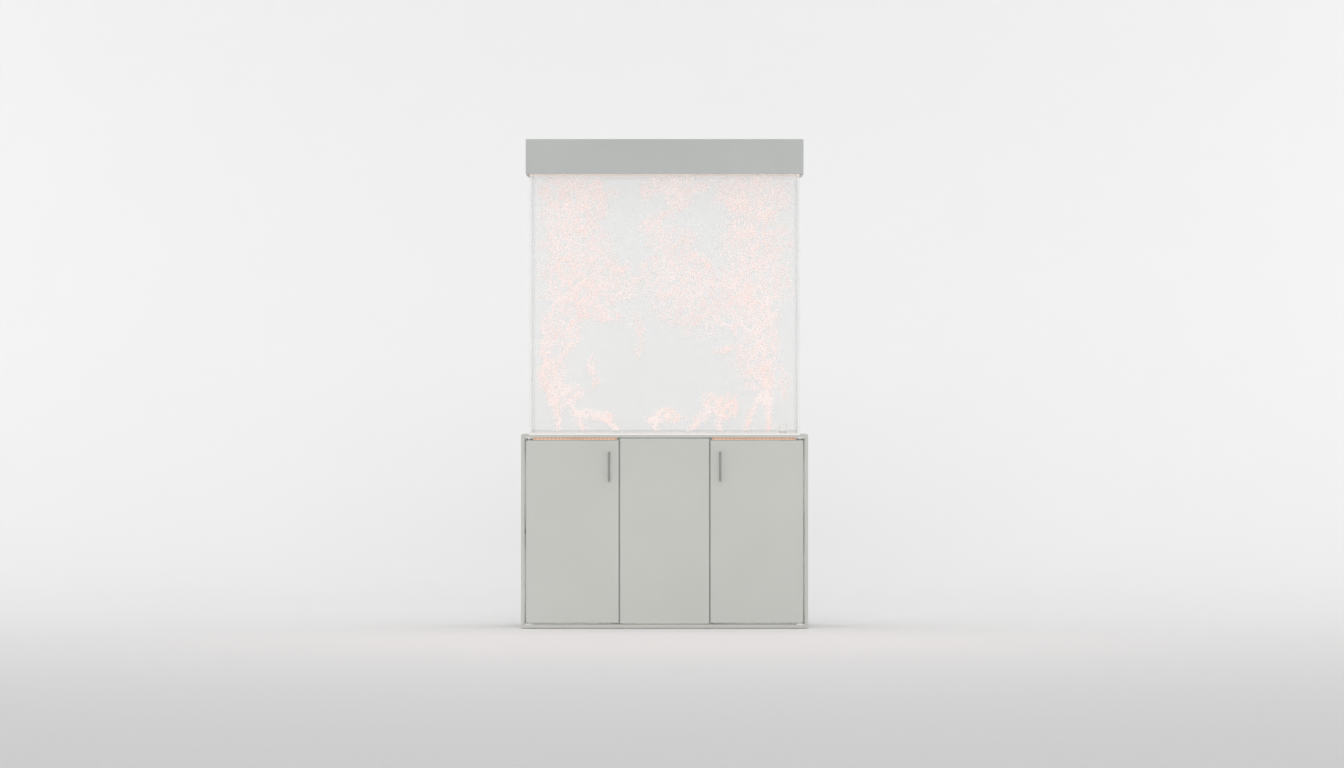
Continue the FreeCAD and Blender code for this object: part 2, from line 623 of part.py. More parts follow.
def build_fittings():
    bodies = []
    nuts = []
    strainers = []
    for y in FITTINGS_Y:
        flange_top = TANK_FLOOR + FITTING_FLANGE
        body = rod_z(FITTING_FLANGE_RADIUS, TANK_FLOOR, flange_top, FITTING_X, y)
        body = body.fuse(rod_z(FITTING_TUBE_RADIUS, FITTING_TUBE_END, flange_top, FITTING_X, y))
        body = body.fuse(rod_z(BARB_RADIUS, FITTING_END, FITTING_TUBE_END, FITTING_X, y))
        waterway = rod_z(BARB_RADIUS - BARB_WALL, FITTING_END, flange_top, FITTING_X, y)
        bodies.append(single(body.cut(waterway)))
        nut = rod_z(FITTING_FLANGE_RADIUS, TANK_BASE - FITTING_NUT, TANK_BASE, FITTING_X, y)
        nut = nut.cut(rod_z(FITTING_TUBE_RADIUS, TANK_BASE - FITTING_NUT, TANK_BASE, FITTING_X, y))
        nuts.append(single(nut))
        cap_top = flange_top + STRAINER_HEIGHT
        cap = rod_z(STRAINER_RADIUS, flange_top, cap_top, FITTING_X, y)
        inside = rod_z(STRAINER_RADIUS - STRAINER_WALL, flange_top, cap_top - STRAINER_WALL, FITTING_X, y)
        slots = []
        for i in range(STRAINER_SLOTS):
            slot = box(0.0, STRAINER_RADIUS + CUT_OVERRUN, -STRAINER_SLOT / 2, STRAINER_SLOT / 2,
                       flange_top + STRAINER_WALL * 2, cap_top - STRAINER_WALL * 2)
            slot.rotate(vector(0, 0, 0), Z_AXIS, i * 360.0 / STRAINER_SLOTS)
            slot.translate(vector(FITTING_X, y, 0))
            slots.append(slot)
        strainers.append(single(cut(cap, [inside] + slots)))
    save("bulkhead_fittings", bodies + nuts)
    save("bulkhead_strainers", strainers)


# ---------------------------------------------------------------- growths in the tank
def slab(outline, y0, y1):
    """A closed smooth outline of (x, z) points, carried from y0 to y1."""
    curve = Part.BSplineCurve()
    curve.interpolate([vector(x, y0, TANK_FLOOR + z) for x, z in outline], PeriodicFlag=True)
    face = Part.Face(Part.Wire([curve.toShape()]))
    return face.extrude(vector(0, y1 - y0, 0))


def growth(outline, y0, y1):
    """A plate of growth between the tank's floor and the brace."""
    inner_half = TANK_HALF - GLASS
    room = box(-inner_half, inner_half, y0, y1, TANK_FLOOR, BRACE_BOTTOM - GROWTH_TOP_CLEARANCE)
    return single(slab(outline, y0, y1).common(room))


def canopied_growth(outline, front, back):
    """A tall growth whose crown spreads forward, and rises inside the brace to just under the rim."""
    plate = growth(outline, front, back)
    y0 = back - CANOPY_DEPTH
    half = TANK_HALF - GLASS - BRACE_WIDTH - CROWN_SIDE_CLEARANCE
    room = box(-half, half, y0, front, TANK_FLOOR + CANOPY_HEIGHT, TANK_TOP - GROWTH_TOP_CLEARANCE)
    crown = single(slab(outline, y0, front).common(room))
    return single(plate.fuse(crown).removeSplitter())


# Outlines in the plane of the back pane. Heights are counted from the tank's floor.
LEFT_GROWTH = [
    (-470, -20), (-220, -20), (-240, 55), (-375, 150), (-395, 280), (-365, 380), (-285, 440),
    (-180, 425), (-130, 490), (-140, 560), (-210, 625), (-250, 740), (-250, 930), (-260, 1080),
    (-400, 1110), (-505, 1090), (-530, 900), (-535, 500), (-535, 200), (-490, 70),
]
RIGHT_GROWTH = [
    (240, -20), (460, -20), (470, 90), (520, 210), (530, 400), (532, 800), (520, 1085),
    (330, 1110), (60, 1105), (-85, 1085), (-100, 890), (-85, 630), (-70, 475), (-10, 400),
    (105, 380), (205, 395), (215, 300), (205, 220), (235, 120), (245, 50),
]
CENTRE_BUSH = [
    (-60, -15), (-10, -15), (0, 20), (60, 30), (105, 50), (80, 75), (20, 90), (-60, 80),
    (-95, 50), (-70, 25),
]
RIGHT_BUSH = [
    (190, -20), (270, -20), (285, 40), (345, 70), (350, 120), (290, 170), (220, 182),
    (150, 150), (130, 90), (180, 40),
]


def build_growths():
    back = TANK_BACK - GLASS - GROWTH_FROM_BACK
    front = back - GROWTH_DEPTH
    save("left_growth", [canopied_growth(LEFT_GROWTH, front, back)])
    save("right_growth", [canopied_growth(RIGHT_GROWTH, front, back)])
    bush_back = front - BUSH_GAP
    save("small_growths", [
        growth(CENTRE_BUSH, front, back),
        growth(RIGHT_BUSH, bush_back - BUSH_DEPTH, bush_back),
    ])


# ---------------------------------------------------------------- hood
def build_hood_walls():
    """Front, sides and back. The back stops short, so that cables and air pass under it."""
    front = box(-HOOD_HALF, HOOD_HALF, HOOD_FRONT, HOOD_INNER_FRONT, HOOD_BASE, HOOD_TOP)
    save("hood_front", [ease_front_edges(front, FRONT_EDGE_ROUND)])
    gland_z = LIGHT_BASE + LIGHT_HEIGHT / 2
    gland_hole = rod_y(GLAND_RADIUS, HOOD_INNER_BACK, HOOD_BACK, 0.0, gland_z)
    slot_top = HOOD_BASE + HOOD_BACK_SLOT
    back = box(-HOOD_HALF, HOOD_HALF, HOOD_INNER_BACK, HOOD_BACK, slot_top, HOOD_TOP)
    save("hood_back", [single(back.cut(gland_hole))])
    side = box(-HOOD_HALF, -HOOD_INNER_HALF, HOOD_INNER_FRONT, HOOD_INNER_BACK, HOOD_BASE, HOOD_TOP)
    save("hood_left_side", [side])
    save("hood_right_side", [mirrored(side)])

    gland = rod_y(GLAND_RADIUS, HOOD_INNER_BACK - GLAND_FLANGE, HOOD_BACK + GLAND_TIP, 0.0, gland_z)
    for y0 in (HOOD_INNER_BACK - GLAND_FLANGE, HOOD_BACK):
        gland = gland.fuse(rod_y(GLAND_FLANGE_RADIUS, y0, y0 + GLAND_FLANGE, 0.0, gland_z))
    bore = rod_y(GLAND_BORE_RADIUS, HOOD_INNER_BACK - GLAND_FLANGE, HOOD_BACK + GLAND_TIP, 0.0, gland_z)
    save("hood_cable_gland", [single(gland.cut(bore))])


def build_hood_top():
    strip = box(-HOOD_INNER_HALF, HOOD_INNER_HALF, STRIP_FRONT, HOOD_INNER_BACK, LID_BOTTOM, HOOD_TOP)
    save("hood_rear_strip", [strip])
    lid = box(-HOOD_INNER_HALF + LID_GAP, HOOD_INNER_HALF - LID_GAP, HOOD_INNER_FRONT + LID_GAP, LID_BACK,
              LID_BOTTOM, HOOD_TOP)
    notch = rod_z(NOTCH_RADIUS, LID_BOTTOM, HOOD_TOP, 0.0, HOOD_INNER_FRONT + LID_GAP)
    save("hood_lid", [single(lid.cut(notch))])

    ledges = []
    y0 = HOOD_INNER_FRONT
    y1 = HOOD_INNER_BACK
    ledges.append(box(-HOOD_INNER_HALF, HOOD_INNER_HALF, y0, y0 + LEDGE, TRIM_TOP, TRIM_TOP + LEDGE))
    low = box(-HOOD_INNER_HALF, -HOOD_INNER_HALF + LEDGE, y0 + LEDGE, y1, TRIM_TOP, TRIM_TOP + LEDGE)
    high = box(-HOOD_INNER_HALF, -HOOD_INNER_HALF + LID_STOP, y0, y1, LID_BOTTOM - LID_STOP, LID_BOTTOM)
    front_half = box(-HOOD_INNER_HALF + LID_STOP, -NOTCH_RADIUS - LID_STOP, y0, y0 + LID_STOP,
                     LID_BOTTOM - LID_STOP, LID_BOTTOM)
    for ledge in (low, high, front_half):
        ledges += [ledge, mirrored(ledge)]
    save("hood_ledges", ledges)


def hinge_at(x):
    """Leaves and pin of one butt hinge: odd knuckles belong to the strip, even ones to the lid."""
    x0 = x - HINGE_WIDTH / 2
    step = HINGE_WIDTH / HINGE_KNUCKLES
    fixed = box(x0, x0 + HINGE_WIDTH, HINGE_Y + HINGE_KNUCKLE_RADIUS + HINGE_LIFT, HINGE_Y + HINGE_LEAF,
                HOOD_TOP, HOOD_TOP + HINGE_SHEET)
    moving = box(x0, x0 + HINGE_WIDTH, HINGE_Y - HINGE_LEAF, HINGE_Y - HINGE_KNUCKLE_RADIUS - HINGE_LIFT,
                 HOOD_TOP, HOOD_TOP + HINGE_SHEET)
    for i in range(HINGE_KNUCKLES):
        a = x0 + i * step + HINGE_KNUCKLE_GAP / 2
        b = x0 + (i + 1) * step - HINGE_KNUCKLE_GAP / 2
        barrel = rod_x(HINGE_KNUCKLE_RADIUS, a, b, HINGE_Y, HINGE_Z)
        if i % 2 == 0:
            tab = box(a, b, HINGE_Y, HINGE_Y + HINGE_KNUCKLE_RADIUS + HINGE_LIFT + HINGE_TAB_ROOT,
                      HOOD_TOP + HINGE_LIFT, HOOD_TOP + HINGE_SHEET)
            fixed = fixed.fuse([barrel, tab])
        else:
            tab = box(a, b, HINGE_Y - HINGE_KNUCKLE_RADIUS - HINGE_LIFT - HINGE_TAB_ROOT, HINGE_Y,
                      HOOD_TOP + HINGE_LIFT, HOOD_TOP + HINGE_SHEET)
            moving = moving.fuse([barrel, tab])
    pin_x = (x0 + HINGE_KNUCKLE_GAP, x0 + HINGE_WIDTH - HINGE_KNUCKLE_GAP)
    pin = rod_x(HINGE_PIN_RADIUS, pin_x[0], pin_x[1], HINGE_Y, HINGE_Z)
    fixed = fixed.cut(rod_x(HINGE_PIN_RADIUS, x0, x0 + HINGE_WIDTH, HINGE_Y, HINGE_Z))
    loose = HINGE_PIN_RADIUS + RUNNING_CLEARANCE
    moving = moving.cut(rod_x(loose, x0, x0 + HINGE_WIDTH, HINGE_Y, HINGE_Z))
    return single(fixed), single(moving), pin


def build_lid_hinges():
    sets = [hinge_at(x) for x in (-HINGE_SPACING / 2, HINGE_SPACING / 2)]
    save("lid_hinge_fixed_leaves", [parts[0] for parts in sets] + [parts[2] for parts in sets])
    save("lid_hinge_lid_leaves", [parts[1] for parts in sets])


def build_hood_light():
    y0 = TANK_Y - LIGHT_WIDTH / 2
    y1 = TANK_Y + LIGHT_WIDTH / 2
    housing = box(-HOOD_INNER_HALF, HOOD_INNER_HALF, y0, y1, LIGHT_BASE, LIGHT_TOP)
    hollow = box(-HOOD_INNER_HALF + LIGHT_WALL, HOOD_INNER_HALF - LIGHT_WALL, y0 + LIGHT_WALL,
                 y1 - LIGHT_WALL, LIGHT_BASE, LIGHT_TOP - LIGHT_WALL)
    save("light_housing", [single(housing.cut(hollow))])
    lens = box(-HOOD_INNER_HALF + LIGHT_WALL, HOOD_INNER_HALF - LIGHT_WALL, y0 + LIGHT_WALL,
               y1 - LIGHT_WALL, LIGHT_BASE, LIGHT_BASE + LIGHT_LENS)
    save("light_lens", [lens])


# ---------------------------------------------------------------- canister filter
def build_canister():
    outer = rounded_prism(FILTER_X, FILTER_Y, FILTER_SIDE, FILTER_CORNER, CANISTER_BASE, CANISTER_TOP)
    inner = rounded_prism(FILTER_X, FILTER_Y, FILTER_SIDE - 2 * FILTER_WALL, FILTER_CORNER - FILTER_WALL,
                          CANISTER_BASE + FILTER_WALL, CANISTER_TOP)
    body = outer.cut(inner)
    reach = FILTER_SIDE / 2 - FILTER_CORNER
    for dx in (-reach, reach):
        for dy in (-reach, reach):
            foot = rod_z(FILTER_FOOT_RADIUS, FLOOR_TOP, CANISTER_BASE, FILTER_X + dx, FILTER_Y + dy)
            body = body.fuse(foot)
    save("filter_canister", [single(body)])
    gap = FILTER_WALL + MEDIA_GAP
    media = rounded_prism(FILTER_X, FILTER_Y, FILTER_SIDE - 2 * gap, FILTER_CORNER - gap,
                          CANISTER_BASE + FILTER_WALL, CANISTER_TOP - CHAMBER_DEPTH)
    save("filter_media", [media])


def primer_x():
    return FILTER_X - PRIMER_FROM_CENTRE


def lever_centre():
    x = VALVE_X - VALVE_BLOCK[0] / 2
    z = HEAD_TOP + VALVE_BLOCK[2] / 2
    return x, FILTER_Y, z


def clamp_axis_x(side):
    return FILTER_X + side * (FILTER_SIDE / 2 + CLAMP_STANDOFF)


def build_head():
    head = rounded_prism(FILTER_X, FILTER_Y, FILTER_SIDE, FILTER_CORNER, CANISTER_TOP, HEAD_TOP)
    chamber = rod_z(CHAMBER_RADIUS, CANISTER_TOP, CANISTER_TOP + CHAMBER_DEPTH, FILTER_X, FILTER_Y)
    well_bottom = HEAD_TOP - PRIMER_SUNK - PRIMER_TRAVEL - PRIMER_SPARE
    well = rod_z(PRIMER_RADIUS + RUNNING_CLEARANCE, well_bottom, HEAD_TOP, primer_x(), FILTER_Y)
    block = centred_box(VALVE_X, FILTER_Y, HEAD_TOP, VALVE_BLOCK[0], VALVE_BLOCK[1], VALVE_BLOCK[2])
    head = head.fuse(block)
    ports = []
    for y in PORTS_Y:
        head = head.fuse(rod_z(BARB_RADIUS, VALVE_TOP - PORT_ROOT, VALVE_TOP + PORT_BARB, VALVE_X, y))
        ports.append(rod_z(BARB_RADIUS - BARB_WALL, VALVE_TOP - PORT_DEPTH, VALVE_TOP + PORT_BARB,
                           VALVE_X, y))
    for side in (-1, 1):
        wall = FILTER_X + side * (FILTER_SIDE / 2 - LUG_ROOT)
        tip = clamp_axis_x(side) + side * (CLAMP_PIN_RADIUS + LUG_TIP)
        for hand in (-1, 1):
            near = FILTER_Y + hand * (CLAMP_WIDTH / 2 + LUG_GAP)
            far = near + hand * LUG_WIDTH
            lug = box(min(wall, tip), max(wall, tip), min(near, far), max(near, far),
                      CLAMP_Z - LUG_HALF_HEIGHT, CLAMP_Z + LUG_HALF_HEIGHT)
            head = head.fuse(lug)
            ports.append(rod_y(CLAMP_PIN_RADIUS + RUNNING_CLEARANCE, min(near, far), max(near, far),
                               clamp_axis_x(side), CLAMP_Z))
    x, y, z = lever_centre()
    pin_hole = rod_x(LEVER_PIN_RADIUS + RUNNING_CLEARANCE, x, x + LEVER_PIN_DEPTH + LEVER_PIN_SPARE, y, z)
    shaft = rod_z(SHAFT_RADIUS, CANISTER_TOP + CHAMBER_DEPTH, CANISTER_TOP + CHAMBER_DEPTH + SHAFT_SEAT,
                  FILTER_X, FILTER_Y)
    save("filter_head", [single(cut(head, ports + [chamber, well, pin_hole, shaft]))])


def build_filter_moving_parts():
    base = CANISTER_TOP + (CHAMBER_DEPTH - IMPELLER_HEIGHT) / 2
    hub = rod_z(IMPELLER_HUB_RADIUS, base, base + IMPELLER_HEIGHT, FILTER_X, FILTER_Y)
    for i in range(IMPELLER_BLADES):
        blade = box(IMPELLER_HUB_RADIUS - IMPELLER_BLADE_ROOT, IMPELLER_RADIUS, -IMPELLER_BLADE / 2,
                    IMPELLER_BLADE / 2, base, base + IMPELLER_HEIGHT / 2)
        blade.rotate(vector(0, 0, 0), Z_AXIS, i * 360.0 / IMPELLER_BLADES)
        blade.translate(vector(FILTER_X, FILTER_Y, 0))
        hub = hub.fuse(blade)
    shaft_bottom = base - SHAFT_COLLAR_HEIGHT
    bore = rod_z(SHAFT_RADIUS + RUNNING_CLEARANCE, base, base + IMPELLER_HEIGHT, FILTER_X, FILTER_Y)
    save("filter_impeller", [single(hub.cut(bore))])
    shaft_top = CANISTER_TOP + CHAMBER_DEPTH + SHAFT_SEAT
    shaft = rod_z(SHAFT_RADIUS, shaft_bottom, shaft_top, FILTER_X, FILTER_Y)
    collar = rod_z(SHAFT_RADIUS + SHAFT_COLLAR_WALL, shaft_bottom, base, FILTER_X, FILTER_Y)
    save("impeller_shaft", [single(shaft.fuse(collar))])

    primer = rod_z(PRIMER_RADIUS, HEAD_TOP - PRIMER_SUNK, HEAD_TOP + PRIMER_RISE, primer_x(), FILTER_Y)
    rim = [e for e in primer.Edges if abs(e.BoundBox.ZMin - HEAD_TOP - PRIMER_RISE) < 1e-6]
    save("filter_primer", [primer.makeFillet(PRIMER_ROUND, rim)])

    x, y, z = lever_centre()
    face = x - LEVER_GAP
    disc = rod_x(LEVER_DISC_RADIUS, face - LEVER_THICKNESS, face, y, z)
    pin = rod_x(LEVER_PIN_RADIUS, face - LEVER_THICKNESS, x + LEVER_PIN_DEPTH, y, z)
    arm = box(face - LEVER_THICKNESS, face, y - LEVER_LENGTH, y,
              z - LEVER_ARM_HALF, z + LEVER_ARM_HALF)
    save("filter_valve_lever", [single(disc.fuse([pin, arm]).removeSplitter())])

    for side, name in ((-1, "left"), (1, "right")):
        axis_x = clamp_axis_x(side)
        plate = box(axis_x - CLAMP_THICKNESS / 2, axis_x + CLAMP_THICKNESS / 2, FILTER_Y - CLAMP_WIDTH / 2,
                    FILTER_Y + CLAMP_WIDTH / 2, CLAMP_Z - CLAMP_LENGTH, CLAMP_Z + CLAMP_THICKNESS / 2)
        reach = CLAMP_WIDTH / 2 + CLAMP_PIN_LENGTH
        pin = rod_y(CLAMP_PIN_RADIUS, FILTER_Y - reach, FILTER_Y + reach, axis_x, CLAMP_Z)
        save("filter_clamp_" + name, [single(plate.fuse(pin))])


# ---------------------------------------------------------------- hoses
def rounded_path(points):
    """Straight runs joined by tangent arcs, each as large as its two runs allow."""
    edges = []
    start = points[0]
    for before, corner, after in zip(points, points[1:], points[2:]):
        back = before - corner
        ahead = after - corner
        run = min(back.Length, ahead.Length)
        turn = math.pi - back.getAngle(ahead)
        trim = HOSE_ARC_SHARE * run
        radius = trim / math.tan(turn / 2)
        back.normalize()
        ahead.normalize()
        arc_start = corner + back * trim
        arc_end = corner + ahead * trim
        middle_direction = back + ahead
        middle_direction.normalize()
        to_centre = radius / math.cos(turn / 2)
        arc_middle = corner + middle_direction * (to_centre - radius)
        edges.append(Part.LineSegment(start, arc_start).toShape())
        edges.append(Part.Arc(arc_start, arc_middle, arc_end).toShape())
        start = arc_end
        print("hose arc radius", round(radius, 1))
    edges.append(Part.LineSegment(start, points[-1]).toShape())
    return Part.Wire(edges)


def hose(points):
    path = rounded_path(points)
    heading = points[1] - points[0]
    outer = Part.Wire([Part.makeCircle(HOSE_RADIUS, points[0], heading)])
    inner = Part.Wire([Part.makeCircle(HOSE_BORE_RADIUS, points[0], heading)])
    tube = path.makePipeShell([outer], True, False)
    bore = path.makePipeShell([inner], True, False)
    section = math.pi * (HOSE_RADIUS ** 2 - HOSE_BORE_RADIUS ** 2)
    solid = single(tube.cut(bore))
    ratio = solid.Volume / (section * path.Length)
    print("hose length", round(path.Length, 1), "volume ratio", round(ratio, 4))
    return solid


def build_hoses():
    top = FITTING_TUBE_END - HOSE_END_GAP
    end = VALVE_TOP + HOSE_END_GAP
    straight = (top - end) * HOSE_STRAIGHT_SHARE
    for name, fitting_y, port_y in zip(("intake", "return"), FITTINGS_Y, PORTS_Y):
        points = [
            vector(FITTING_X, fitting_y, top),
            vector(FITTING_X, fitting_y, top - straight),
            vector(VALVE_X, port_y, end + straight),
            vector(VALVE_X, port_y, end),
        ]
        save(name + "_hose", [hose(points)])


def main():
    os.makedirs("parts", exist_ok=True)
    build_carcass()
    build_centre_panel()
    build_doors()
    build_accent_lights()
    build_tank()
    build_fittings()
    build_growths()
    build_hood_walls()
    build_hood_top()
    build_lid_hinges()
    build_hood_light()
    build_canister()
    build_head()
    build_filter_moving_parts()
    build_hoses()
    print("nodes", len(os.listdir("parts")))


main()
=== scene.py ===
"""Looks of the display aquarium on its cabinet: finishes, growths, small fittings and the studio.

Everything is in metres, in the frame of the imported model, which stays as it is. The front faces -Y.
"""
import logging
import math
from dataclasses import dataclass, field
from enum import Enum
from functools import cache
from typing import Iterable, Sequence

import bpy
import numpy as np
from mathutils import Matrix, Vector


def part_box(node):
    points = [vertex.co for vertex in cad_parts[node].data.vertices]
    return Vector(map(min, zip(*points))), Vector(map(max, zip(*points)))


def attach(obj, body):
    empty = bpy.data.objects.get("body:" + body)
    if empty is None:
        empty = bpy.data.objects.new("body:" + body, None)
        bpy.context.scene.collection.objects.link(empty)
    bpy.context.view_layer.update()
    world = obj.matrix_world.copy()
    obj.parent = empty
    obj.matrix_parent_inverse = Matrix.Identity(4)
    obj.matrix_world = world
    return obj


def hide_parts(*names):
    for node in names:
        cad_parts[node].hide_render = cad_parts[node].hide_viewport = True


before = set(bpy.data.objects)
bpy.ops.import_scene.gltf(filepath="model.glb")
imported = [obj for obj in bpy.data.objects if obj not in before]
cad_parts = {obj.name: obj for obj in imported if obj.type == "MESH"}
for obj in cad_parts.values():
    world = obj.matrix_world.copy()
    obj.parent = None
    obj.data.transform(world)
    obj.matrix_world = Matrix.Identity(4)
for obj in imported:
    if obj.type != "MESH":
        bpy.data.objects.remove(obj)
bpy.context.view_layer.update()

FULL_TURN = 2 * math.pi
Colour = tuple[float, float, float]
Point = tuple[float, float, float]
Array, Draws = np.ndarray, np.random.Generator
Piece, Tree = bpy.types.Object, bpy.types.NodeTree
Node, Socket = bpy.types.Node, bpy.types.NodeSocket
log = logging.getLogger("aquarium")


# -------------------- meshes from arrays
def new_piece(name: str, vertices: Array, triangles: Array) -> Piece:
    """Make a smooth mesh object at the origin from whole arrays.

    Args:
        name: the piece's name.
        vertices: (n, 3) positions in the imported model's frame.
        triangles: (m, 3) vertex numbers, anticlockwise seen from outside.

    Returns:
        The new object, linked to the scene.
    """
    mesh = bpy.data.meshes.new(name)
    mesh.vertices.add(len(vertices))
    mesh.vertices.foreach_set("co", vertices.astype(np.float32).ravel())
    mesh.loops.add(triangles.size)
    mesh.loops.foreach_set("vertex_index", triangles.astype(np.int32).ravel())
    mesh.polygons.add(len(triangles))
    mesh.polygons.foreach_set("loop_start", np.arange(0, triangles.size, 3, dtype=np.int32))
    mesh.polygons.foreach_set("loop_total", np.full(len(triangles), 3, dtype=np.int32))
    mesh.polygons.foreach_set("use_smooth", np.ones(len(triangles), dtype=bool))
    mesh.update(calc_edges=True)
    piece = bpy.data.objects.new(name, mesh)
    bpy.context.scene.collection.objects.link(piece)
    return piece


def grid_triangles(rows: int, columns: int) -> Array:
    """Number the two triangles of every cell of a grid whose columns close on themselves.

    Args:
        rows: how many rings of points there are.
        columns: how many points each ring has.

    Returns:
        (2 * (rows - 1) * columns, 3) vertex numbers.
    """
    i, j = np.meshgrid(np.arange(rows - 1), np.arange(columns), indexing="ij")
    a = i * columns + j
    b = i * columns + (j + 1) % columns
    first = np.stack([a, b, b + columns], axis=-1).reshape(-1, 3)
    second = np.stack([a, b + columns, a + columns], axis=-1).reshape(-1, 3)
    return np.concatenate([first, second])


def repeated(name: str, vertices: Array, triangles: Array) -> Piece:
    """Make one piece of many copies of a small closed shape.

    Args:
        name: the piece's name.
        vertices: (copies, points, 3) positions.
        triangles: (m, 3) vertex numbers of one copy.

    Returns:
        The piece.
    """
    copies, points = vertices.shape[:2]
    numbers = triangles[None] + (np.arange(copies) * points)[:, None, None]
    return new_piece(name, vertices.reshape(-1, 3), numbers.reshape(-1, 3))


def across(directions: Array) -> tuple[Array, Array]:
    """Two unit vectors square to each direction and to each other, by cross products with X or Z.

    Args:
        directions: (n, 3) unit vectors.

    Returns:
        Two (n, 3) arrays.
    """
    steep = np.abs(directions[:, 2]) > 0.8
    helper = np.where(steep[:, None], np.array([1.0, 0.0, 0.0]), np.array([0.0, 0.0, 1.0]))
    u = np.cross(directions, helper)
    u /= np.linalg.norm(u, axis=1)[:, None]
    return u, np.cross(directions, u)


def rings(directions: Array, sides: int) -> Array:
    """Unit circles square to each direction: cosine times one square vector plus sine times the other.

    Args:
        directions: (n, 3) unit vectors.
        sides: how many points each circle has.

    Returns:
        (n, sides, 3) offsets from the middle.
    """
    u, v = across(directions)
    angle = np.arange(sides) * FULL_TURN / sides
    return u[:, None] * np.cos(angle)[None, :, None] + v[:, None] * np.sin(angle)[None, :, None]


def icosahedron() -> tuple[Array, Array]:
    """Unit icosahedron: the corners (0, +-1, +-g) in turn, with g the golden ratio.

    Returns:
        Its 12 vertices on the unit sphere and its 20 outward triangles.
    """
    g = (1 + math.sqrt(5)) / 2
    corners = np.array([(-1, g, 0), (1, g, 0), (-1, -g, 0), (1, -g, 0), (0, -1, g), (0, 1, g),
                        (0, -1, -g), (0, 1, -g), (g, 0, -1), (g, 0, 1), (-g, 0, -1), (-g, 0, 1)])
    faces = np.array([(0, 11, 5), (0, 5, 1), (0, 1, 7), (0, 7, 10), (0, 10, 11), (1, 5, 9), (5, 11, 4),
                      (11, 10, 2), (10, 7, 6), (7, 1, 8), (3, 9, 4), (3, 4, 2), (3, 2, 6), (3, 6, 8),
                      (3, 8, 9), (4, 9, 5), (2, 4, 11), (6, 2, 10), (8, 6, 7), (9, 8, 1)])
    return corners / np.linalg.norm(corners[0]), faces


# -------------------- shader building
class Graph:
    """A node tree with short calls for adding and joining nodes."""

    def __init__(self, tree: Tree) -> None:
        """Keep the tree and start its columns at the left."""
        self.tree = tree
        self.column = 0

    def add(self, kind: str, settings: dict | None = None, **inputs: object) -> Node:
        """Add a node.

        Args:
            kind: the node's type name.
            settings: properties to set on the node.
            **inputs: socket values, or the sockets that feed them; _ in a name stands for a space.

        Returns:
            The node.
        """
        node = self.tree.nodes.new(kind)
        node.location = (self.column * 190, 0)
        self.column += 1
        for name, value in (settings or {}).items():
            setattr(node, name, value)
        self.feed(node, ((name.replace("_", " "), value) for name, value in inputs.items()))
        return node

    def feed(self, node: Node, values: Iterable[tuple[str | int, object]]) -> None:
        """Give some of a node's sockets their values.

        Args:
            node: the node.
            values: each socket's name or number, and its value or the socket that feeds it.
        """
        for key, value in values:
            if isinstance(value, Socket):
                self.tree.links.new(value, node.inputs[key])
            else:
                node.inputs[key].default_value = value

    def math(self, operation: str, *values: object) -> Socket:
        """Work out a Math node's operation.

        Args:
            operation: the operation's name.
            *values: the numbers or sockets that it takes, in turn.

        Returns:
            The result's socket.
        """
        node = self.add("ShaderNodeMath", {"operation": operation})
        self.feed(node, enumerate(values))
        return node.outputs[0]

    def ramp(self, factor: Socket, low: float, high: float) -> Socket:
        """Stretch a value so that low becomes 0 and high becomes 1.

        Args:
            factor: the value to stretch.
            low: the value that becomes 0.
            high: the value that becomes 1.

        Returns:
            The stretched value, kept between 0 and 1.
        """
        node = self.add("ShaderNodeMapRange", Value=factor, From_Min=low, From_Max=high)
        return node.outputs["Result"]

    def mix(self, factor: object, first: object, second: object) -> Socket:
        """Mix two colours.

        Args:
            factor: 0 for the first, 1 for the second.
            first: a colour or a socket.
            second: a colour or a socket.

        Returns:
            The mixed colour's socket.
        """
        node = self.add("ShaderNodeMix", {"data_type": "RGBA"})
        colours = [v if isinstance(v, Socket) else rgba(v) for v in (first, second)]
        self.feed(node, ((0, factor), (6, colours[0]), (7, colours[1])))
        return node.outputs[2]

    def deliver(self, colour: object, roughness: object, height: object) -> Tree:
        """Join a group's three results to its outputs and give the group."""
        self.add("NodeGroupOutput", Colour=colour, Roughness=roughness, Height=height)
        return self.tree


def rgba(colour: Sequence[float]) -> tuple[float, ...]:
    """A colour with alpha 1."""
    return (*colour[:3], 1.0)


def shade(colour: Colour, factor: float) -> Colour:
    """The colour made lighter or darker by a factor, no lighter than white."""
    return tuple(min(1.0, channel * factor) for channel in colour)


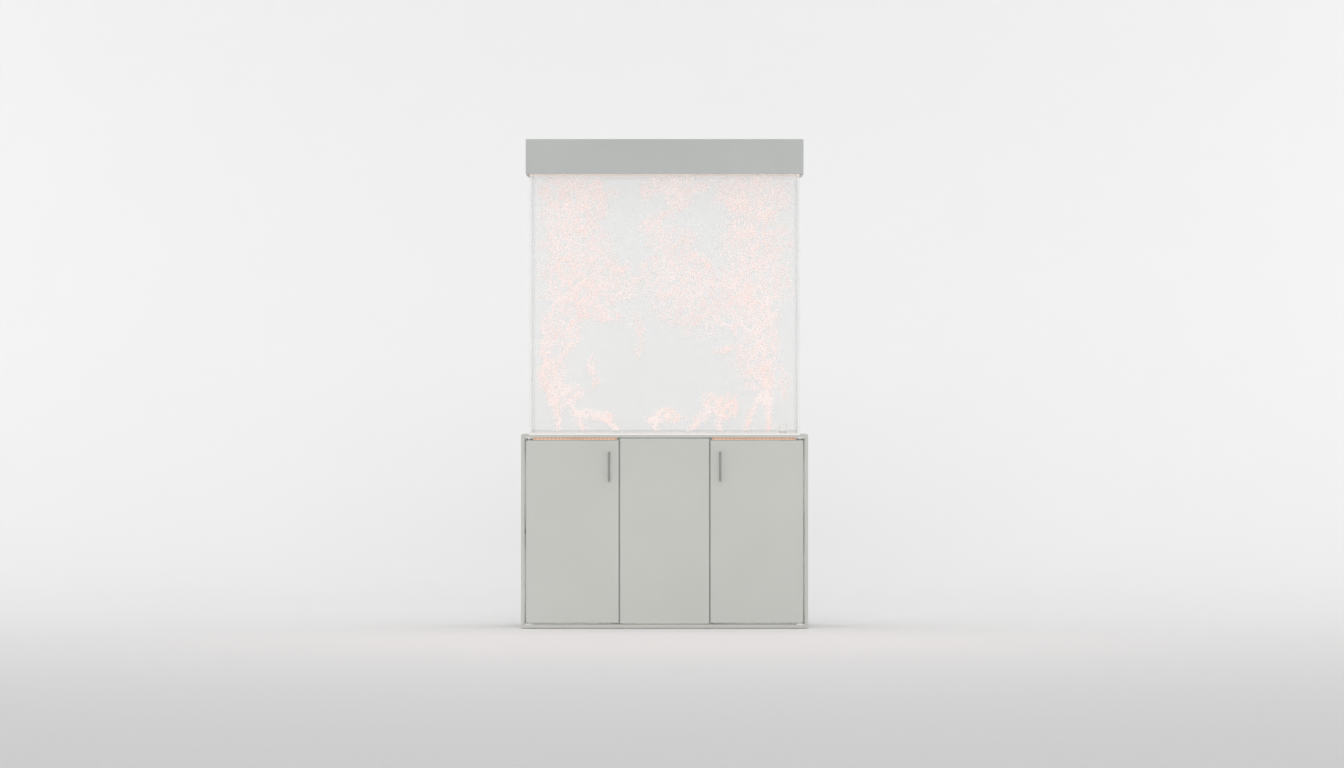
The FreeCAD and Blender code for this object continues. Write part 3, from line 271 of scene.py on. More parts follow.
class Effects:
    """Shader node groups that several finishes share; each puts out Colour, Roughness and Height."""

    peel_tone: float = 0.06
    peel_shade: float = 0.9
    lacquer_gloss_drift: float = 0.12
    grain_gloss_drift: float = 0.14
    skin_gloss_drift: float = 0.15

    @staticmethod
    def start(name: str, **inputs: str) -> tuple[Graph, bpy.types.NodeOutputs]:
        """Make an empty group with its sockets.

        Args:
            name: the group's name.
            **inputs: each input's kind, Float, Color or Vector; _ in a name stands for a space.

        Returns:
            The group's graph, and the sockets that bring in its inputs.
        """
        tree = bpy.data.node_groups.new(name, "ShaderNodeTree")
        outputs = {"Colour": "Color", "Roughness": "Float", "Height": "Float"}
        for way, sockets in (("INPUT", inputs), ("OUTPUT", outputs)):
            for socket, kind in sockets.items():
                tree.interface.new_socket(socket.replace("_", " "), in_out=way,
                                          socket_type="NodeSocket" + kind)
        graph = Graph(tree)
        return graph, graph.add("NodeGroupInput").outputs

    @classmethod
    @cache
    def lacquer(cls) -> Tree:
        """Sprayed lacquer: fine orange peel over a slow drift of tone and gloss.

        Returns:
            The group.
        """
        g, given = cls.start("sprayed_lacquer", Vector="Vector", Colour="Color", Peel_Scale="Float",
                             Drift="Float", Gloss="Float")
        peel = g.add("ShaderNodeTexNoise", Vector=given["Vector"], Scale=given["Peel Scale"], Detail=3.0,
                     Roughness=0.55).outputs["Fac"]
        slow = g.add("ShaderNodeTexNoise", Vector=given["Vector"], Scale=2.3, Detail=4.0).outputs["Fac"]
        darker = g.add("ShaderNodeHueSaturation", Value=cls.peel_shade, Color=given["Colour"])
        amount = g.math("MULTIPLY", g.ramp(slow, 0.35, 0.65), given["Drift"])
        colour = g.mix(g.math("MULTIPLY_ADD", peel, cls.peel_tone, amount), given["Colour"],
                       darker.outputs["Color"])
        gloss = g.math("MULTIPLY_ADD", slow, cls.lacquer_gloss_drift, given["Gloss"])
        return g.deliver(colour, gloss, peel)

    @classmethod
    @cache
    def grain(cls) -> Tree:
        """Directional grain: noise squeezed along one axis, for brushed metal and wood.

        Returns:
            The group.
        """
        g, given = cls.start("directional_grain", Vector="Vector", Light="Color", Dark="Color",
                             Stretch="Vector", Gloss="Float")
        stretched = g.add("ShaderNodeVectorMath", {"operation": "MULTIPLY"})
        g.feed(stretched, ((0, given["Vector"]), (1, given["Stretch"])))
        lines = g.add("ShaderNodeTexNoise", Vector=stretched.outputs[0], Scale=1.0, Detail=5.0,
                      Roughness=0.6)
        band = g.ramp(lines.outputs["Fac"], 0.3, 0.7)
        gloss = g.math("MULTIPLY_ADD", band, cls.grain_gloss_drift, given["Gloss"])
        return g.deliver(g.mix(band, given["Dark"], given["Light"]), gloss, band)

    @classmethod
    @cache
    def moulding(cls) -> Tree:
        """Moulded skin: small cells of texture under thin patches of dust.

        Returns:
            The group.
        """
        g, given = cls.start("moulded_skin", Vector="Vector", Colour="Color", Dust="Color",
                             Scale="Float", Dust_Amount="Float", Gloss="Float")
        cells = g.add("ShaderNodeTexVoronoi", Vector=given["Vector"], Scale=given["Scale"])
        noise = g.add("ShaderNodeTexNoise", Vector=given["Vector"], Scale=18.0, Detail=5.0)
        patches = noise.outputs["Fac"]
        dust = g.math("MULTIPLY", g.ramp(patches, 0.45, 0.7), given["Dust Amount"])
        gloss = g.math("MULTIPLY_ADD", patches, cls.skin_gloss_drift, given["Gloss"])
        return g.deliver(g.mix(dust, given["Colour"], given["Dust"]), gloss, cells.outputs["Distance"])


@dataclass(frozen=True)
class Finish:
    """A finish of one kind: its name and the plain values of its shader."""

    name: str
    colour: Colour = (0.6, 0.6, 0.6)
    gloss: float = 0.5
    bump: float = 0.1
    depth: float = 0.0001

    def sockets(self) -> dict[str, object]:
        """Plain values for the shader's own sockets."""
        return {}

    def effect(self, graph: Graph, place: Socket) -> Node | None:
        """Add the group that varies over the surface, if the finish has one."""
        return None

    def material(self) -> bpy.types.Material:
        """Build the material once and give the same one after that.

        Returns:
            The material.
        """
        label = self.name + "_finish"
        if label in bpy.data.materials:
            return bpy.data.materials[label]
        made = bpy.data.materials.new(label)
        made.use_nodes = True
        graph = Graph(made.node_tree)
        shader = made.node_tree.nodes["Principled BSDF"]
        graph.feed(shader, (("Base Color", rgba(self.colour)), ("Roughness", self.gloss)))
        graph.feed(shader, self.sockets().items())
        place = graph.add("ShaderNodeTexCoord").outputs["Object"]
        group = self.effect(graph, place)
        if group is not None:
            self.connect(graph, group, shader)
        return made

    def connect(self, graph: Graph, group: Node, shader: Node) -> None:
        """Feed the group's colour, roughness and height to the shader.

        Args:
            graph: the material's graph.
            group: the group node.
            shader: the Principled shader.
        """
        bump = graph.add("ShaderNodeBump", Strength=self.bump, Distance=self.depth,
                         Height=group.outputs["Height"])
        graph.feed(shader, (("Base Color", group.outputs["Colour"]),
                            ("Roughness", group.outputs["Roughness"]),
                            ("Normal", bump.outputs["Normal"])))

    def dress(self, *pieces: Piece) -> None:
        """Give every piece this finish in its only slot."""
        for piece in pieces:
            piece.data.materials.clear()
            piece.data.materials.append(self.material())


@dataclass(frozen=True)
class Lacquer(Finish):
    """Matt sprayed lacquer on board."""

    peel_scale: float = 420.0
    drift: float = 0.35

    def sockets(self) -> dict[str, object]:
        """A low sheen."""
        return {"Specular IOR Level": 0.38, "Coat Weight": 0.05, "Coat Roughness": 0.3}

    def effect(self, graph: Graph, place: Socket) -> Node:
        """The lacquer group, in this colour."""
        return graph.add("ShaderNodeGroup", {"node_tree": Effects.lacquer()}, Vector=place,
                         Colour=rgba(self.colour), Peel_Scale=self.peel_scale, Drift=self.drift,
                         Gloss=self.gloss)


@dataclass(frozen=True)
class Grained(Finish):
    """Brushed metal or plain wood: light and dark lines along one axis."""

    dark: Colour = (0.4, 0.4, 0.4)
    stretch: Point = (900.0, 900.0, 12.0)
    metallic: float = 1.0

    def sockets(self) -> dict[str, object]:
        """Metal or not."""
        return {"Metallic": self.metallic}

    def effect(self, graph: Graph, place: Socket) -> Node:
        """The grain group, in these colours."""
        return graph.add("ShaderNodeGroup", {"node_tree": Effects.grain()}, Vector=place,
                         Light=rgba(self.colour), Dark=rgba(self.dark), Stretch=self.stretch,
                         Gloss=self.gloss)


@dataclass(frozen=True)
class Moulded(Finish):
    """Moulded plastic, rubber or foam."""

    cells: float = 700.0
    dust: float = 0.12
    dust_colour: Colour = (0.6, 0.6, 0.58)
    extra: tuple[tuple[str, object], ...] = ()

    def sockets(self) -> dict[str, object]:
        """Whatever the plastic needs besides."""
        return dict(self.extra)

    def effect(self, graph: Graph, place: Socket) -> Node:
        """The moulded skin group, in this colour."""
        return graph.add("ShaderNodeGroup", {"node_tree": Effects.moulding()}, Vector=place,
                         Colour=rgba(self.colour), Dust=rgba(self.dust_colour), Scale=self.cells,
                         Dust_Amount=self.dust, Gloss=self.gloss)


@dataclass(frozen=True)
class ClearGlass(Finish):
    """Polished low-iron glass: open to light, with a clear gloss and a faint film of dried spots."""

    haze: float = 0.13
    film: float = 0.03
    smear: float = 0.05
    spot_share: float = 0.25

    def sockets(self) -> dict[str, object]:
        """The index of window glass."""
        return {"IOR": 1.5}

    def effect(self, graph: Graph, place: Socket) -> None:
        """Slow patches of film and small dried spots, which stop a little more light and dull the gloss.

        Args:
            graph: the material's graph.
            place: the object coordinates.
        """
        slow = graph.add("ShaderNodeTexNoise", Vector=place, Scale=3.0, Detail=4.0)
        spots = graph.add("ShaderNodeTexVoronoi", Vector=place, Scale=38.0)
        patch = graph.ramp(slow.outputs["Fac"], 0.42, 0.68)
        spot = graph.ramp(spots.outputs["Distance"], 0.09, 0.05)
        mask = graph.math("MULTIPLY_ADD", spot, self.spot_share, patch)
        graph.feed(graph.tree.nodes["Principled BSDF"],
                   (("Alpha", graph.math("MULTIPLY_ADD", mask, self.film, self.haze)),
                    ("Roughness", graph.math("MULTIPLY_ADD", mask, self.smear, self.gloss))))


@dataclass(frozen=True)
class LitLens(Finish):
    """Opal plastic lit from behind by a row of small lamps, brighter in front of each lamp."""

    glow: Colour = (1.0, 0.8, 0.6)
    strength: float = 2.0
    lamp_pitch: float = 0.02
    evenness: float = 0.7

    def sockets(self) -> dict[str, object]:
        """How brightly it is lit."""
        return {"Emission Strength": self.strength}

    def effect(self, graph: Graph, place: Socket) -> None:
        """A cosine along X at the lamps' pitch, between the glow and a dimmer glow.

        Args:
            graph: the material's graph.
            place: the object coordinates.
        """
        x = graph.add("ShaderNodeSeparateXYZ", Vector=place).outputs["X"]
        wave = graph.math("COSINE", graph.math("MULTIPLY", x, FULL_TURN / self.lamp_pitch))
        drift = graph.add("ShaderNodeTexNoise", Vector=place, Scale=7.0, Detail=3.0)
        both = graph.math("MULTIPLY", graph.ramp(wave, -1.0, 1.0),
                          graph.ramp(drift.outputs["Fac"], 0.3, 0.6))
        colour = graph.mix(both, shade(self.glow, self.evenness), self.glow)
        graph.feed(graph.tree.nodes["Principled BSDF"],
                   (("Emission Color", colour), ("Base Color", colour)))


@dataclass(frozen=True)
class GrowthResin(Finish):
    """Cast coral resin: pale skin, pinker in patches, with a painted glow that stands in for light and
    evens out its shading.
    """

    patch: Colour = (0.95, 0.7, 0.64)
    glow: float = 0.575
    skin: float = 0.62
    speck: float = 1.12

    def sockets(self) -> dict[str, object]:
        """A dull skin with a faint painted glow."""
        return {"Emission Strength": self.glow, "Specular IOR Level": 0.3}

    def effect(self, graph: Graph, place: Socket) -> None:
        """Patches by slow noise, specks by fine noise, and pores as bump.

        Args:
            graph: the material's graph.
            place: the object coordinates.
        """
        slow = graph.add("ShaderNodeTexNoise", Vector=place, Scale=9.0, Detail=4.0)
        fine = graph.add("ShaderNodeTexNoise", Vector=place, Scale=240.0, Detail=2.0)
        pores = graph.add("ShaderNodeTexVoronoi", Vector=place, Scale=900.0)
        patchy = graph.mix(graph.ramp(slow.outputs["Fac"], 0.36, 0.64), self.colour, self.patch)
        specked = graph.mix(graph.ramp(fine.outputs["Fac"], 0.5, 0.75), patchy,
                            shade(self.colour, self.speck))
        bump = graph.add("ShaderNodeBump", Strength=self.bump, Distance=self.depth,
                         Height=pores.outputs["Distance"])
        # The base colour is dimmed to the skin share while the emission keeps the full colour: painted
        # glow that flattens the shading.
        skin = graph.add("ShaderNodeHueSaturation", Value=self.skin, Color=specked)
        graph.feed(graph.tree.nodes["Principled BSDF"],
                   (("Base Color", skin.outputs["Color"]), ("Emission Color", specked),
                    ("Normal", bump.outputs["Normal"])))


class Finishes:
    """Every finish on the object."""

    carcass = Lacquer("cabinet_lacquer", (0.515, 0.527, 0.50), 0.46, 0.25, 0.00006)
    front = Lacquer("door_lacquer", (0.528, 0.5415, 0.5145), 0.46, 0.25, 0.00006)
    hood = Lacquer("hood_lacquer", (0.452, 0.472, 0.456), 0.44, 0.25, 0.00006)
    glass = ClearGlass("low_iron_glass", (0.82, 0.838, 0.838), 0.04)
    brace = ClearGlass("brace_glass", (0.99, 0.94, 0.91), 0.06, haze=0.1)
    silicone = Moulded("clear_silicone", (0.88, 0.88, 0.87), 0.3, 0.1, cells=120.0, dust=0.03,
                       extra=(("Alpha", 0.12),))
    trim = Moulded("white_trim", (0.8, 0.79, 0.77), 0.42, cells=500.0)
    # The rim trim's warm colour and its emission are painted glow, not a lamp: they stand in for the
    # lamp light that falls on the trim under the hood.
    rim = Moulded("rim_trim_painted_glow", (0.95, 0.88, 0.84), 0.42, cells=500.0, dust=0.02,
                  extra=(("Emission Color", (1.0, 0.86, 0.79, 1.0)), ("Emission Strength", 0.42)))
    # The mat's emission is painted light: it brightens the mat's upward faces inside the tank, which lie
    # in shade.
    mat = Moulded("foam_mat", (0.9, 0.87, 0.85), 0.9, 0.6, 0.0004, cells=420.0, dust=0.05,
                 extra=(("Emission Color", (1.0, 0.97, 0.94, 1.0)), ("Emission Strength", 0.25)))
    handle = Grained("brushed_handle_steel", (0.24, 0.24, 0.228), 0.28, 0.15, 0.00003,
                     dark=(0.15, 0.15, 0.143), stretch=(1100.0, 1100.0, 14.0))
    plated = Grained("plated_steel", (0.72, 0.72, 0.7), 0.22, 0.1, 0.00003, dark=(0.55, 0.55, 0.54),
                     stretch=(160.0, 160.0, 160.0))
    dowel = Grained("beech_dowel", (0.74, 0.56, 0.37), 0.6, 0.4, 0.0002, dark=(0.6, 0.42, 0.26),
                    stretch=(500.0, 500.0, 30.0), metallic=0.0)
    aluminium = Grained("anodised_aluminium", (0.78, 0.78, 0.77), 0.34, 0.1, 0.00003,
                        dark=(0.68, 0.68, 0.67), stretch=(10.0, 800.0, 800.0))
    glide = Moulded("glide_plastic", (0.12, 0.12, 0.115), 0.6, cells=900.0)
    warm_lens = LitLens("warm_opal_lens", (1.0, 0.8, 0.68), 0.4, glow=(1.0, 0.6, 0.42), strength=0.35,
                        lamp_pitch=0.0166)
    white_lens = LitLens("white_opal_lens", (1.0, 0.97, 0.94), 0.4, glow=(1.0, 0.88, 0.82), strength=1.0,
                         lamp_pitch=0.03)
    # The coral's emission is painted glow: it lifts and evens out its shading in place of light.
    growth = GrowthResin("coral_resin", (0.90, 0.80, 0.775), 0.55, 0.5, 0.0006, patch=(0.9, 0.72, 0.675))
    # The fittings' emission is painted light: it brightens them where they stand in shade.
    fitting = Moulded("fitting_painted_glow", (0.86, 0.85, 0.84), 0.35, 0.1, cells=900.0, dust=0.03,
                      extra=(("Emission Color", (1.0, 1.0, 1.0, 1.0)), ("Emission Strength", 0.1)))
    filter_dark = Moulded("filter_shell", (0.045, 0.05, 0.055), 0.42, 0.4, 0.0001, cells=1400.0,
                          dust=0.06)
    filter_grey = Moulded("filter_grey", (0.36, 0.37, 0.38), 0.4, 0.3, 0.0001, cells=1200.0, dust=0.05)
    media = Moulded("media_foam", (0.08, 0.12, 0.22), 0.95, 1.0, 0.002, cells=260.0, dust=0.3)
    ceramic = Moulded("white_ceramic", (0.85, 0.85, 0.83), 0.25, cells=2000.0, dust=0.0)
    hose = Moulded("vinyl_hose", (0.2, 0.25, 0.23), 0.25, 0.2, 0.0001, cells=200.0, dust=0.04,
                   extra=(("Transmission Weight", 0.25), ("IOR", 1.5)))


# -------------------- growths
class Depth(Enum):
    """The room that a lobe takes in depth, from the growth's front, 0, to its back, 1."""

    PLATE = (0.52, 1.0)
    MIDDLE = (0.25, 1.0)
    CROWN = (0.0, 1.0)


@dataclass(frozen=True)
class Lobe:
    """An elliptical cloud of growth: its middle and half sizes across and up, its tilt and thickness."""

    x: float
    z: float
    half_x: float
    half_z: float
    thickness: float = 1.0
    tilt: float = 0.0
    depth: Depth = Depth.PLATE
    wander: float = 0.2
    wander_turns: tuple[float, float] = (41.0, 29.0)
    edge_blur: float = 0.13
    flattening: float = 0.75

    def scatter(self, per_square_metre: float, rng: Draws) -> Array:
        """Points over the ellipse, at the square root of a random number, blurred at its edge.

        The cloud is thickest in depth at its middle, by the square root of one less a share of the
        radius squared. How far it stands forward follows a sine of its place, so that no two
        neighbours are level.

        Args:
            per_square_metre: how many points a square metre holds.
            rng: the source of random numbers.

        Returns:
            (n, 3) points, with the depth still a share from 0 to 1.
        """
        count = max(3, int(math.pi * self.half_x * self.half_z * self.thickness * per_square_metre))
        even = np.sqrt(rng.random(count))
        radius = even * (1 + self.edge_blur * rng.standard_normal(count))
        angle = rng.random(count) * FULL_TURN
        u, v = self.half_x * radius * np.cos(angle), self.half_z * radius * np.sin(angle)
        tilt = math.radians(self.tilt)
        cos, sin = math.cos(tilt), math.sin(tilt)
        near, far = self.depth.value
        turn = self.wander_turns[0] * self.x + self.wander_turns[1] * self.z
        near = max(0.0, near + self.wander * math.sin(turn))
        bulge = np.sqrt(1.0 - self.flattening * even ** 2) * rng.uniform(-1.0, 1.0, count)
        share = (near + far) / 2 + (far - near) / 2 * bulge
        return np.stack([self.x + u * cos - v * sin, share, self.z + u * sin + v * cos], axis=1)


@dataclass(frozen=True)
class Leg:
    """A root that runs from the floor of the tank up into the growth."""

    foot_x: float
    top_x: float
    top_z: float
    spread: float = 0.009
    pitch: float = 0.007
    bow: float = 0.008
    wobble: float = 0.001
    share: float = 0.75
    sway: float = 0.06
    fuzz_height: float = 0.004

    def line(self, floor: float, rng: Draws) -> Array:
        """Points along the leg, bowed outwards by a half sine and swaying in depth by a slow sine.

        Args:
            floor: the height of the tank's floor.
            rng: the source of random numbers.

        Returns:
            (n, 3) points, the first at the foot, with the depth still a share.
        """
        count = max(4, int((self.top_z - floor) / self.pitch))
        t = np.linspace(0.0, 1.0, count)
        bow = self.bow * np.sin(math.pi * t) * np.sign(self.foot_x - self.top_x + 1e-9)
        x = self.foot_x + (self.top_x - self.foot_x) * t + bow + self.wobble * rng.standard_normal(count)
        share = self.share + self.sway * np.sin(3.0 * t + self.foot_x * 40.0)
        return np.stack([x, share, floor + (self.top_z - floor) * t], axis=1)

    def fuzz(self, floor: float, per_metre: float, rng: Draws) -> Array:
        """Points about the leg, at a random place along it plus a normal offset.

        Args:
            floor: the height of the tank's floor.
            per_metre: how many points a metre of leg holds.
            rng: the source of random numbers.

        Returns:
            (n, 3) points, with the depth still a share.
        """
        line = self.line(floor, rng)
        length = math.hypot(self.top_x - self.foot_x, self.top_z - floor)
        at = rng.integers(0, len(line), int(length * per_metre))
        offset = rng.standard_normal((len(at), 3)) * np.array([self.spread, self.sway, self.fuzz_height])
        return line[at] + offset


@dataclass
class Growth:
    """One coral-like growth: branching stems on legs, twigs all over them, and a bead on each twig."""

    name: str
    node: str
    lobes: list[Lobe]
    legs: list[Leg]
    front_y: float
    back_y: float
    seed: int
    ceiling: float
    skeleton_density: float = 5200.0
    bead_density: float = 40000.0
    leg_beads: float = 1500.0
    branch_pull: float = 0.08
    tip_radius: float = 0.0008
    stem_power: float = 0.24
    largest_stem: float = 0.0045
    bead_radius: tuple[float, float] = (0.0019, 0.0036)
    sides: int = 5
    gap_wavelength: float = 0.045
    beads_per_piece: int = 9000
    flare: float = 1.35
    shortest_twig: float = 0.003
    filling: float = 0.62
    clumping: float = 0.5
    least_filling: float = 0.05
    waves: int = 9
    floor_gap: float = 0.002
    pane_gap: float = 0.008
    brace_gap: float = 0.006
    brace_side_gap: float = 0.05
    brace_back_gap: float = 0.046

    @property
    def floor(self) -> float:
        """The height of the tank's floor."""
        return float(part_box("tank_bottom_pane")[1].z)

    def depth(self, share: Array) -> Array:
        """The place in Y of a share of the growth's depth."""
        return self.front_y + (self.back_y - self.front_y) * share

    def open_places(self, points: Array) -> Array:
        """A smooth field of clumps and gaps: a sum of sines with random directions and phases.

        Args:
            points: (n, 3) points.

        Returns:
            A value for each point, mostly from -1.5 to 1.5.
        """
        rng = np.random.default_rng(self.seed + 5)
        angle = rng.random(self.waves) * FULL_TURN
        number = FULL_TURN / (self.gap_wavelength * rng.uniform(0.5, 1.8, self.waves))
        phase = rng.random(self.waves) * FULL_TURN
        along = points[:, :1] * np.cos(angle) + points[:, 2:] * np.sin(angle)
        return np.sin(along * number + phase).sum(axis=1) / math.sqrt(self.waves / 2)

    def place(self, points: Array) -> Array:
        """Turn each point's share of depth into its place, and drop what lies outside the growth's room.

        Args:
            points: (n, 3) points, with the depth a share.

        Returns:
            The points that are kept, in metres.
        """
        placed = points.copy()
        placed[:, 1] = self.depth(np.clip(points[:, 1], 0.0, 1.0))
        brace_low, brace_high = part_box("tank_brace")
        half_room = -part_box("tank_left_pane")[1].x - self.pane_gap
        inside = (placed[:, 2] > self.floor + self.floor_gap) & (np.abs(placed[:, 0]) < half_room)
        behind = placed[:, 1] > brace_high.y - self.brace_back_gap
        aside = np.abs(placed[:, 0]) > brace_high.x - self.brace_side_gap
        top = np.where(behind | aside, brace_low.z - self.brace_gap, self.ceiling)
        return placed[inside & (placed[:, 2] < top)]

    def skeleton(self, rng: Draws) -> tuple[Array, Array]:
        """Scatter the skeleton's points: those of the legs, and then those of the lobes.

        Args:
            rng: the source of random numbers.

        Returns:
            The points, and the numbers of the feet among them.
        """
        legs = [leg.line(self.floor, rng) for leg in self.legs]
        feet = np.cumsum([0] + [len(leg) for leg in legs[:-1]])
        rooted = np.concatenate(legs)
        rooted[:, 1] = self.depth(rooted[:, 1])
        lobes = [lobe.scatter(self.skeleton_density, rng) for lobe in self.lobes]
        return np.concatenate([rooted, self.place(np.concatenate(lobes))]), feet

    def join(self, points: Array, feet: Array) -> tuple[Array, Array]:
        """Grow trees from the feet, always adding the point of least reach plus a share of its path.

        Args:
            points: (n, 3) points.
            feet: the numbers of the points that start the trees.

        Returns:
            Each point's parent, with -1 at the feet, and the order in which the points were added.
        """
        count = len(points)
        parent = np.full(count, -1)
        cost = np.full(count, np.inf)
        cost[feet] = 0.0
        path = np.zeros(count)
        waiting = np.ones(count, bool)
        order = np.zeros(count, int)
        for step in range(count):
            new = int(np.argmin(np.where(waiting, cost, np.inf)))
            if parent[new] >= 0:
                path[new] = path[parent[new]] + np.linalg.norm(points[new] - points[parent[new]])
            order[step] = new
            waiting[new] = False
            offer = np.linalg.norm(points - points[new], axis=1) + self.branch_pull * path[new]
            better = waiting & (offer < cost)
            cost[better] = offer[better]
            parent[better] = new
        return parent, order

    def stem_radii(self, parent: Array, order: Array) -> Array:
        """The stem's radius below each point: the tip's radius times a power of the points it carries.

        Args:
            parent: each point's parent.
            order: the order in which the points were added.

        Returns:
            A radius for each point, up to the largest stem's.
        """
        carried = np.ones(len(parent))
        for point in order[::-1]:
            if parent[point] >= 0:
                carried[parent[point]] += carried[point]
        return np.minimum(self.tip_radius * carried ** self.stem_power, self.largest_stem)

    def stems(self, points: Array, parent: Array, radii: Array) -> Piece:
        """A closed tapering prism for each stem: a ring about its foot, one about its tip and two caps.

        Args:
            points: (n, 3) points.
            parent: each point's parent.
            radii: each point's stem radius.

        Returns:
            The piece.
        """
        child = np.nonzero(parent >= 0)[0]
        start, end = points[parent[child]], points[child]
        along = end - start
        along /= np.maximum(np.linalg.norm(along, axis=1), 1e-6)[:, None]
        ring = rings(along, self.sides)
        thick = np.minimum(radii[parent[child]], radii[child] * self.flare)
        foot = start[:, None] + ring * thick[:, None, None]
        tip = end[:, None] + ring * radii[child][:, None, None]
        fan = np.arange(1, self.sides - 1)
        cap = np.stack([np.zeros_like(fan), fan, fan + 1], axis=1)
        one = np.concatenate([grid_triangles(2, self.sides), cap[:, ::-1], cap + self.sides])
        return repeated(self.name + "_stems", np.concatenate([foot, tip], axis=1), one)

    def bead_places(self, points: Array, rng: Draws) -> tuple[Array, Array]:
        """Scatter the beads, thin them where the field of gaps is low, and find the skeleton under each.

        Args:
            points: the skeleton's (n, 3) points.
            rng: the source of random numbers.

        Returns:
            The beads' (m, 3) places, and the places on the skeleton where their twigs start.
        """
        cloud = np.concatenate([lobe.scatter(self.bead_density, rng) for lobe in self.lobes])
        wanted = np.clip(self.filling + self.clumping * self.open_places(cloud), self.least_filling, 1.0)
        cloud = cloud[rng.random(len(cloud)) < wanted]
        fuzz = [leg.fuzz(self.floor, self.leg_beads, rng) for leg in self.legs]
        beads = self.place(np.concatenate([cloud] + fuzz))
        nearest = np.empty(len(beads), int)
        for batch in np.array_split(np.arange(len(beads)), math.ceil(len(beads) / 1000)):
            gap = beads[batch, None] - points[None]
            nearest[batch] = np.argmin((gap ** 2).sum(axis=2), axis=1)
        return beads, points[nearest]

    def twigs(self, roots: Array, beads: Array) -> Piece:
        """A thin closed spike from the skeleton to each bead: a triangle about its root and one point.

        Args:
            roots: (n, 3) places on the skeleton.
            beads: (n, 3) places of the beads.

        Returns:
            The piece.
        """
        along = beads - roots
        length = np.linalg.norm(along, axis=1)
        keep = length > self.shortest_twig
        roots, beads, along = roots[keep], beads[keep], along[keep] / length[keep, None]
        foot = roots[:, None] + rings(along, 3) * self.tip_radius
        vertices = np.concatenate([foot, beads[:, None]], axis=1)
        one = np.array([(0, 1, 3), (1, 2, 3), (2, 0, 3), (2, 1, 0)])
        return repeated(self.name + "_twigs", vertices, one)

    def beads(self, places: Array, rng: Draws) -> list[Piece]:
        """A stretched and turned icosahedron at each place, in as many pieces as their number needs.

        Args:
            places: (n, 3) places.
            rng: the source of random numbers.

        Returns:
            The pieces.
        """
        size = rng.uniform(*self.bead_radius, len(places))
        stretch = size[:, None] * rng.uniform(0.75, 1.25, (len(places), 3))
        corners, faces = icosahedron()
        turn = rng.random(len(places)) * FULL_TURN
        cos, sin = np.cos(turn)[:, None], np.sin(turn)[:, None]
        x = corners[None, :, 0] * cos - corners[None, :, 1] * sin
        y = corners[None, :, 0] * sin + corners[None, :, 1] * cos
        z = np.broadcast_to(corners[None, :, 2], x.shape)
        vertices = places[:, None] + np.stack([x, y, z], axis=2) * stretch[:, None]
        groups = np.array_split(vertices, max(1, math.ceil(len(places) / self.beads_per_piece)))
        return [repeated(f"{self.name}_beads_{i + 1}", group, faces) for i, group in enumerate(groups)]

    def build(self) -> None:
        """Make the stems, the twigs and the beads, which stand for the plain plate of the frame."""
        rng = np.random.default_rng(self.seed)
        points, feet = self.skeleton(rng)
        parent, order = self.join(points, feet)
        places, roots = self.bead_places(points, rng)
        pieces = [self.stems(points, parent, self.stem_radii(parent, order)), self.twigs(roots, places)]
        for piece in pieces + self.beads(places, rng):
            Finishes.growth.dress(piece)
            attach(piece, "root")
            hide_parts(self.node)
            log.info("growth: %s with %d faces", piece.name, len(piece.data.polygons))


# How far a growth stays inside the faces and under the top of its plate.
PLATE_SKIN = 0.005
CROWN_SKIN = 0.004
# A lobe's numbers: its middle across and up, its half sizes, its thickness, and then its tilt and depth.


def left_growth() -> Growth:
    """The tall left growth, which arches over a cave."""
    low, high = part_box("left_growth")
    lobes = [Lobe(*row) for row in (
        (-0.395, 1.83, 0.145, 0.08, 1.0, 0.0, Depth.CROWN),
        (-0.40, 1.73, 0.135, 0.07, 0.7, 0.0, Depth.MIDDLE),
        (-0.28, 1.81, 0.035, 0.09, 0.7, 0.0, Depth.CROWN),
        (-0.22, 1.83, 0.03, 0.03, 0.35), (-0.375, 1.62, 0.15, 0.09, 0.75),
        (-0.34, 1.50, 0.185, 0.07, 0.9), (-0.185, 1.512, 0.035, 0.016, 2.2),
        (-0.145, 1.462, 0.034, 0.016, 1.6), (-0.31, 1.41, 0.20, 0.055, 1.1),
        (-0.34, 1.335, 0.16, 0.04, 1.2, -12.0), (-0.475, 1.26, 0.05, 0.075, 1.2),
        (-0.39, 1.24, 0.035, 0.07, 1.1, -15.0), (-0.425, 1.17, 0.025, 0.035, 1.2),
        (-0.505, 1.16, 0.03, 0.06, 1.3), (-0.48, 1.065, 0.06, 0.08, 1.9),
        (-0.455, 0.97, 0.05, 0.055, 1.6), (-0.39, 0.985, 0.05, 0.04, 1.2),
        (-0.30, 0.89, 0.085, 0.022, 1.9, -6.0), (-0.245, 0.88, 0.03, 0.024, 1.7),
        (-0.306, 1.105, 0.022, 0.042, 1.6), (-0.291, 1.027, 0.019, 0.022, 1.3),
        (-0.112, 1.27, 0.024, 0.06, 0.7, 12.0), (-0.108, 1.18, 0.02, 0.055, 0.6, -14.0))]
    legs = [Leg(-0.448, -0.477, 0.96, 0.010), Leg(-0.345, -0.409, 0.95, 0.009),
            Leg(-0.198, -0.292, 0.895, 0.008)]
    return Growth("left_growth", "left_growth", lobes, legs, low.y + PLATE_SKIN, high.y - PLATE_SKIN,
                  seed=11, ceiling=high.z - CROWN_SKIN)


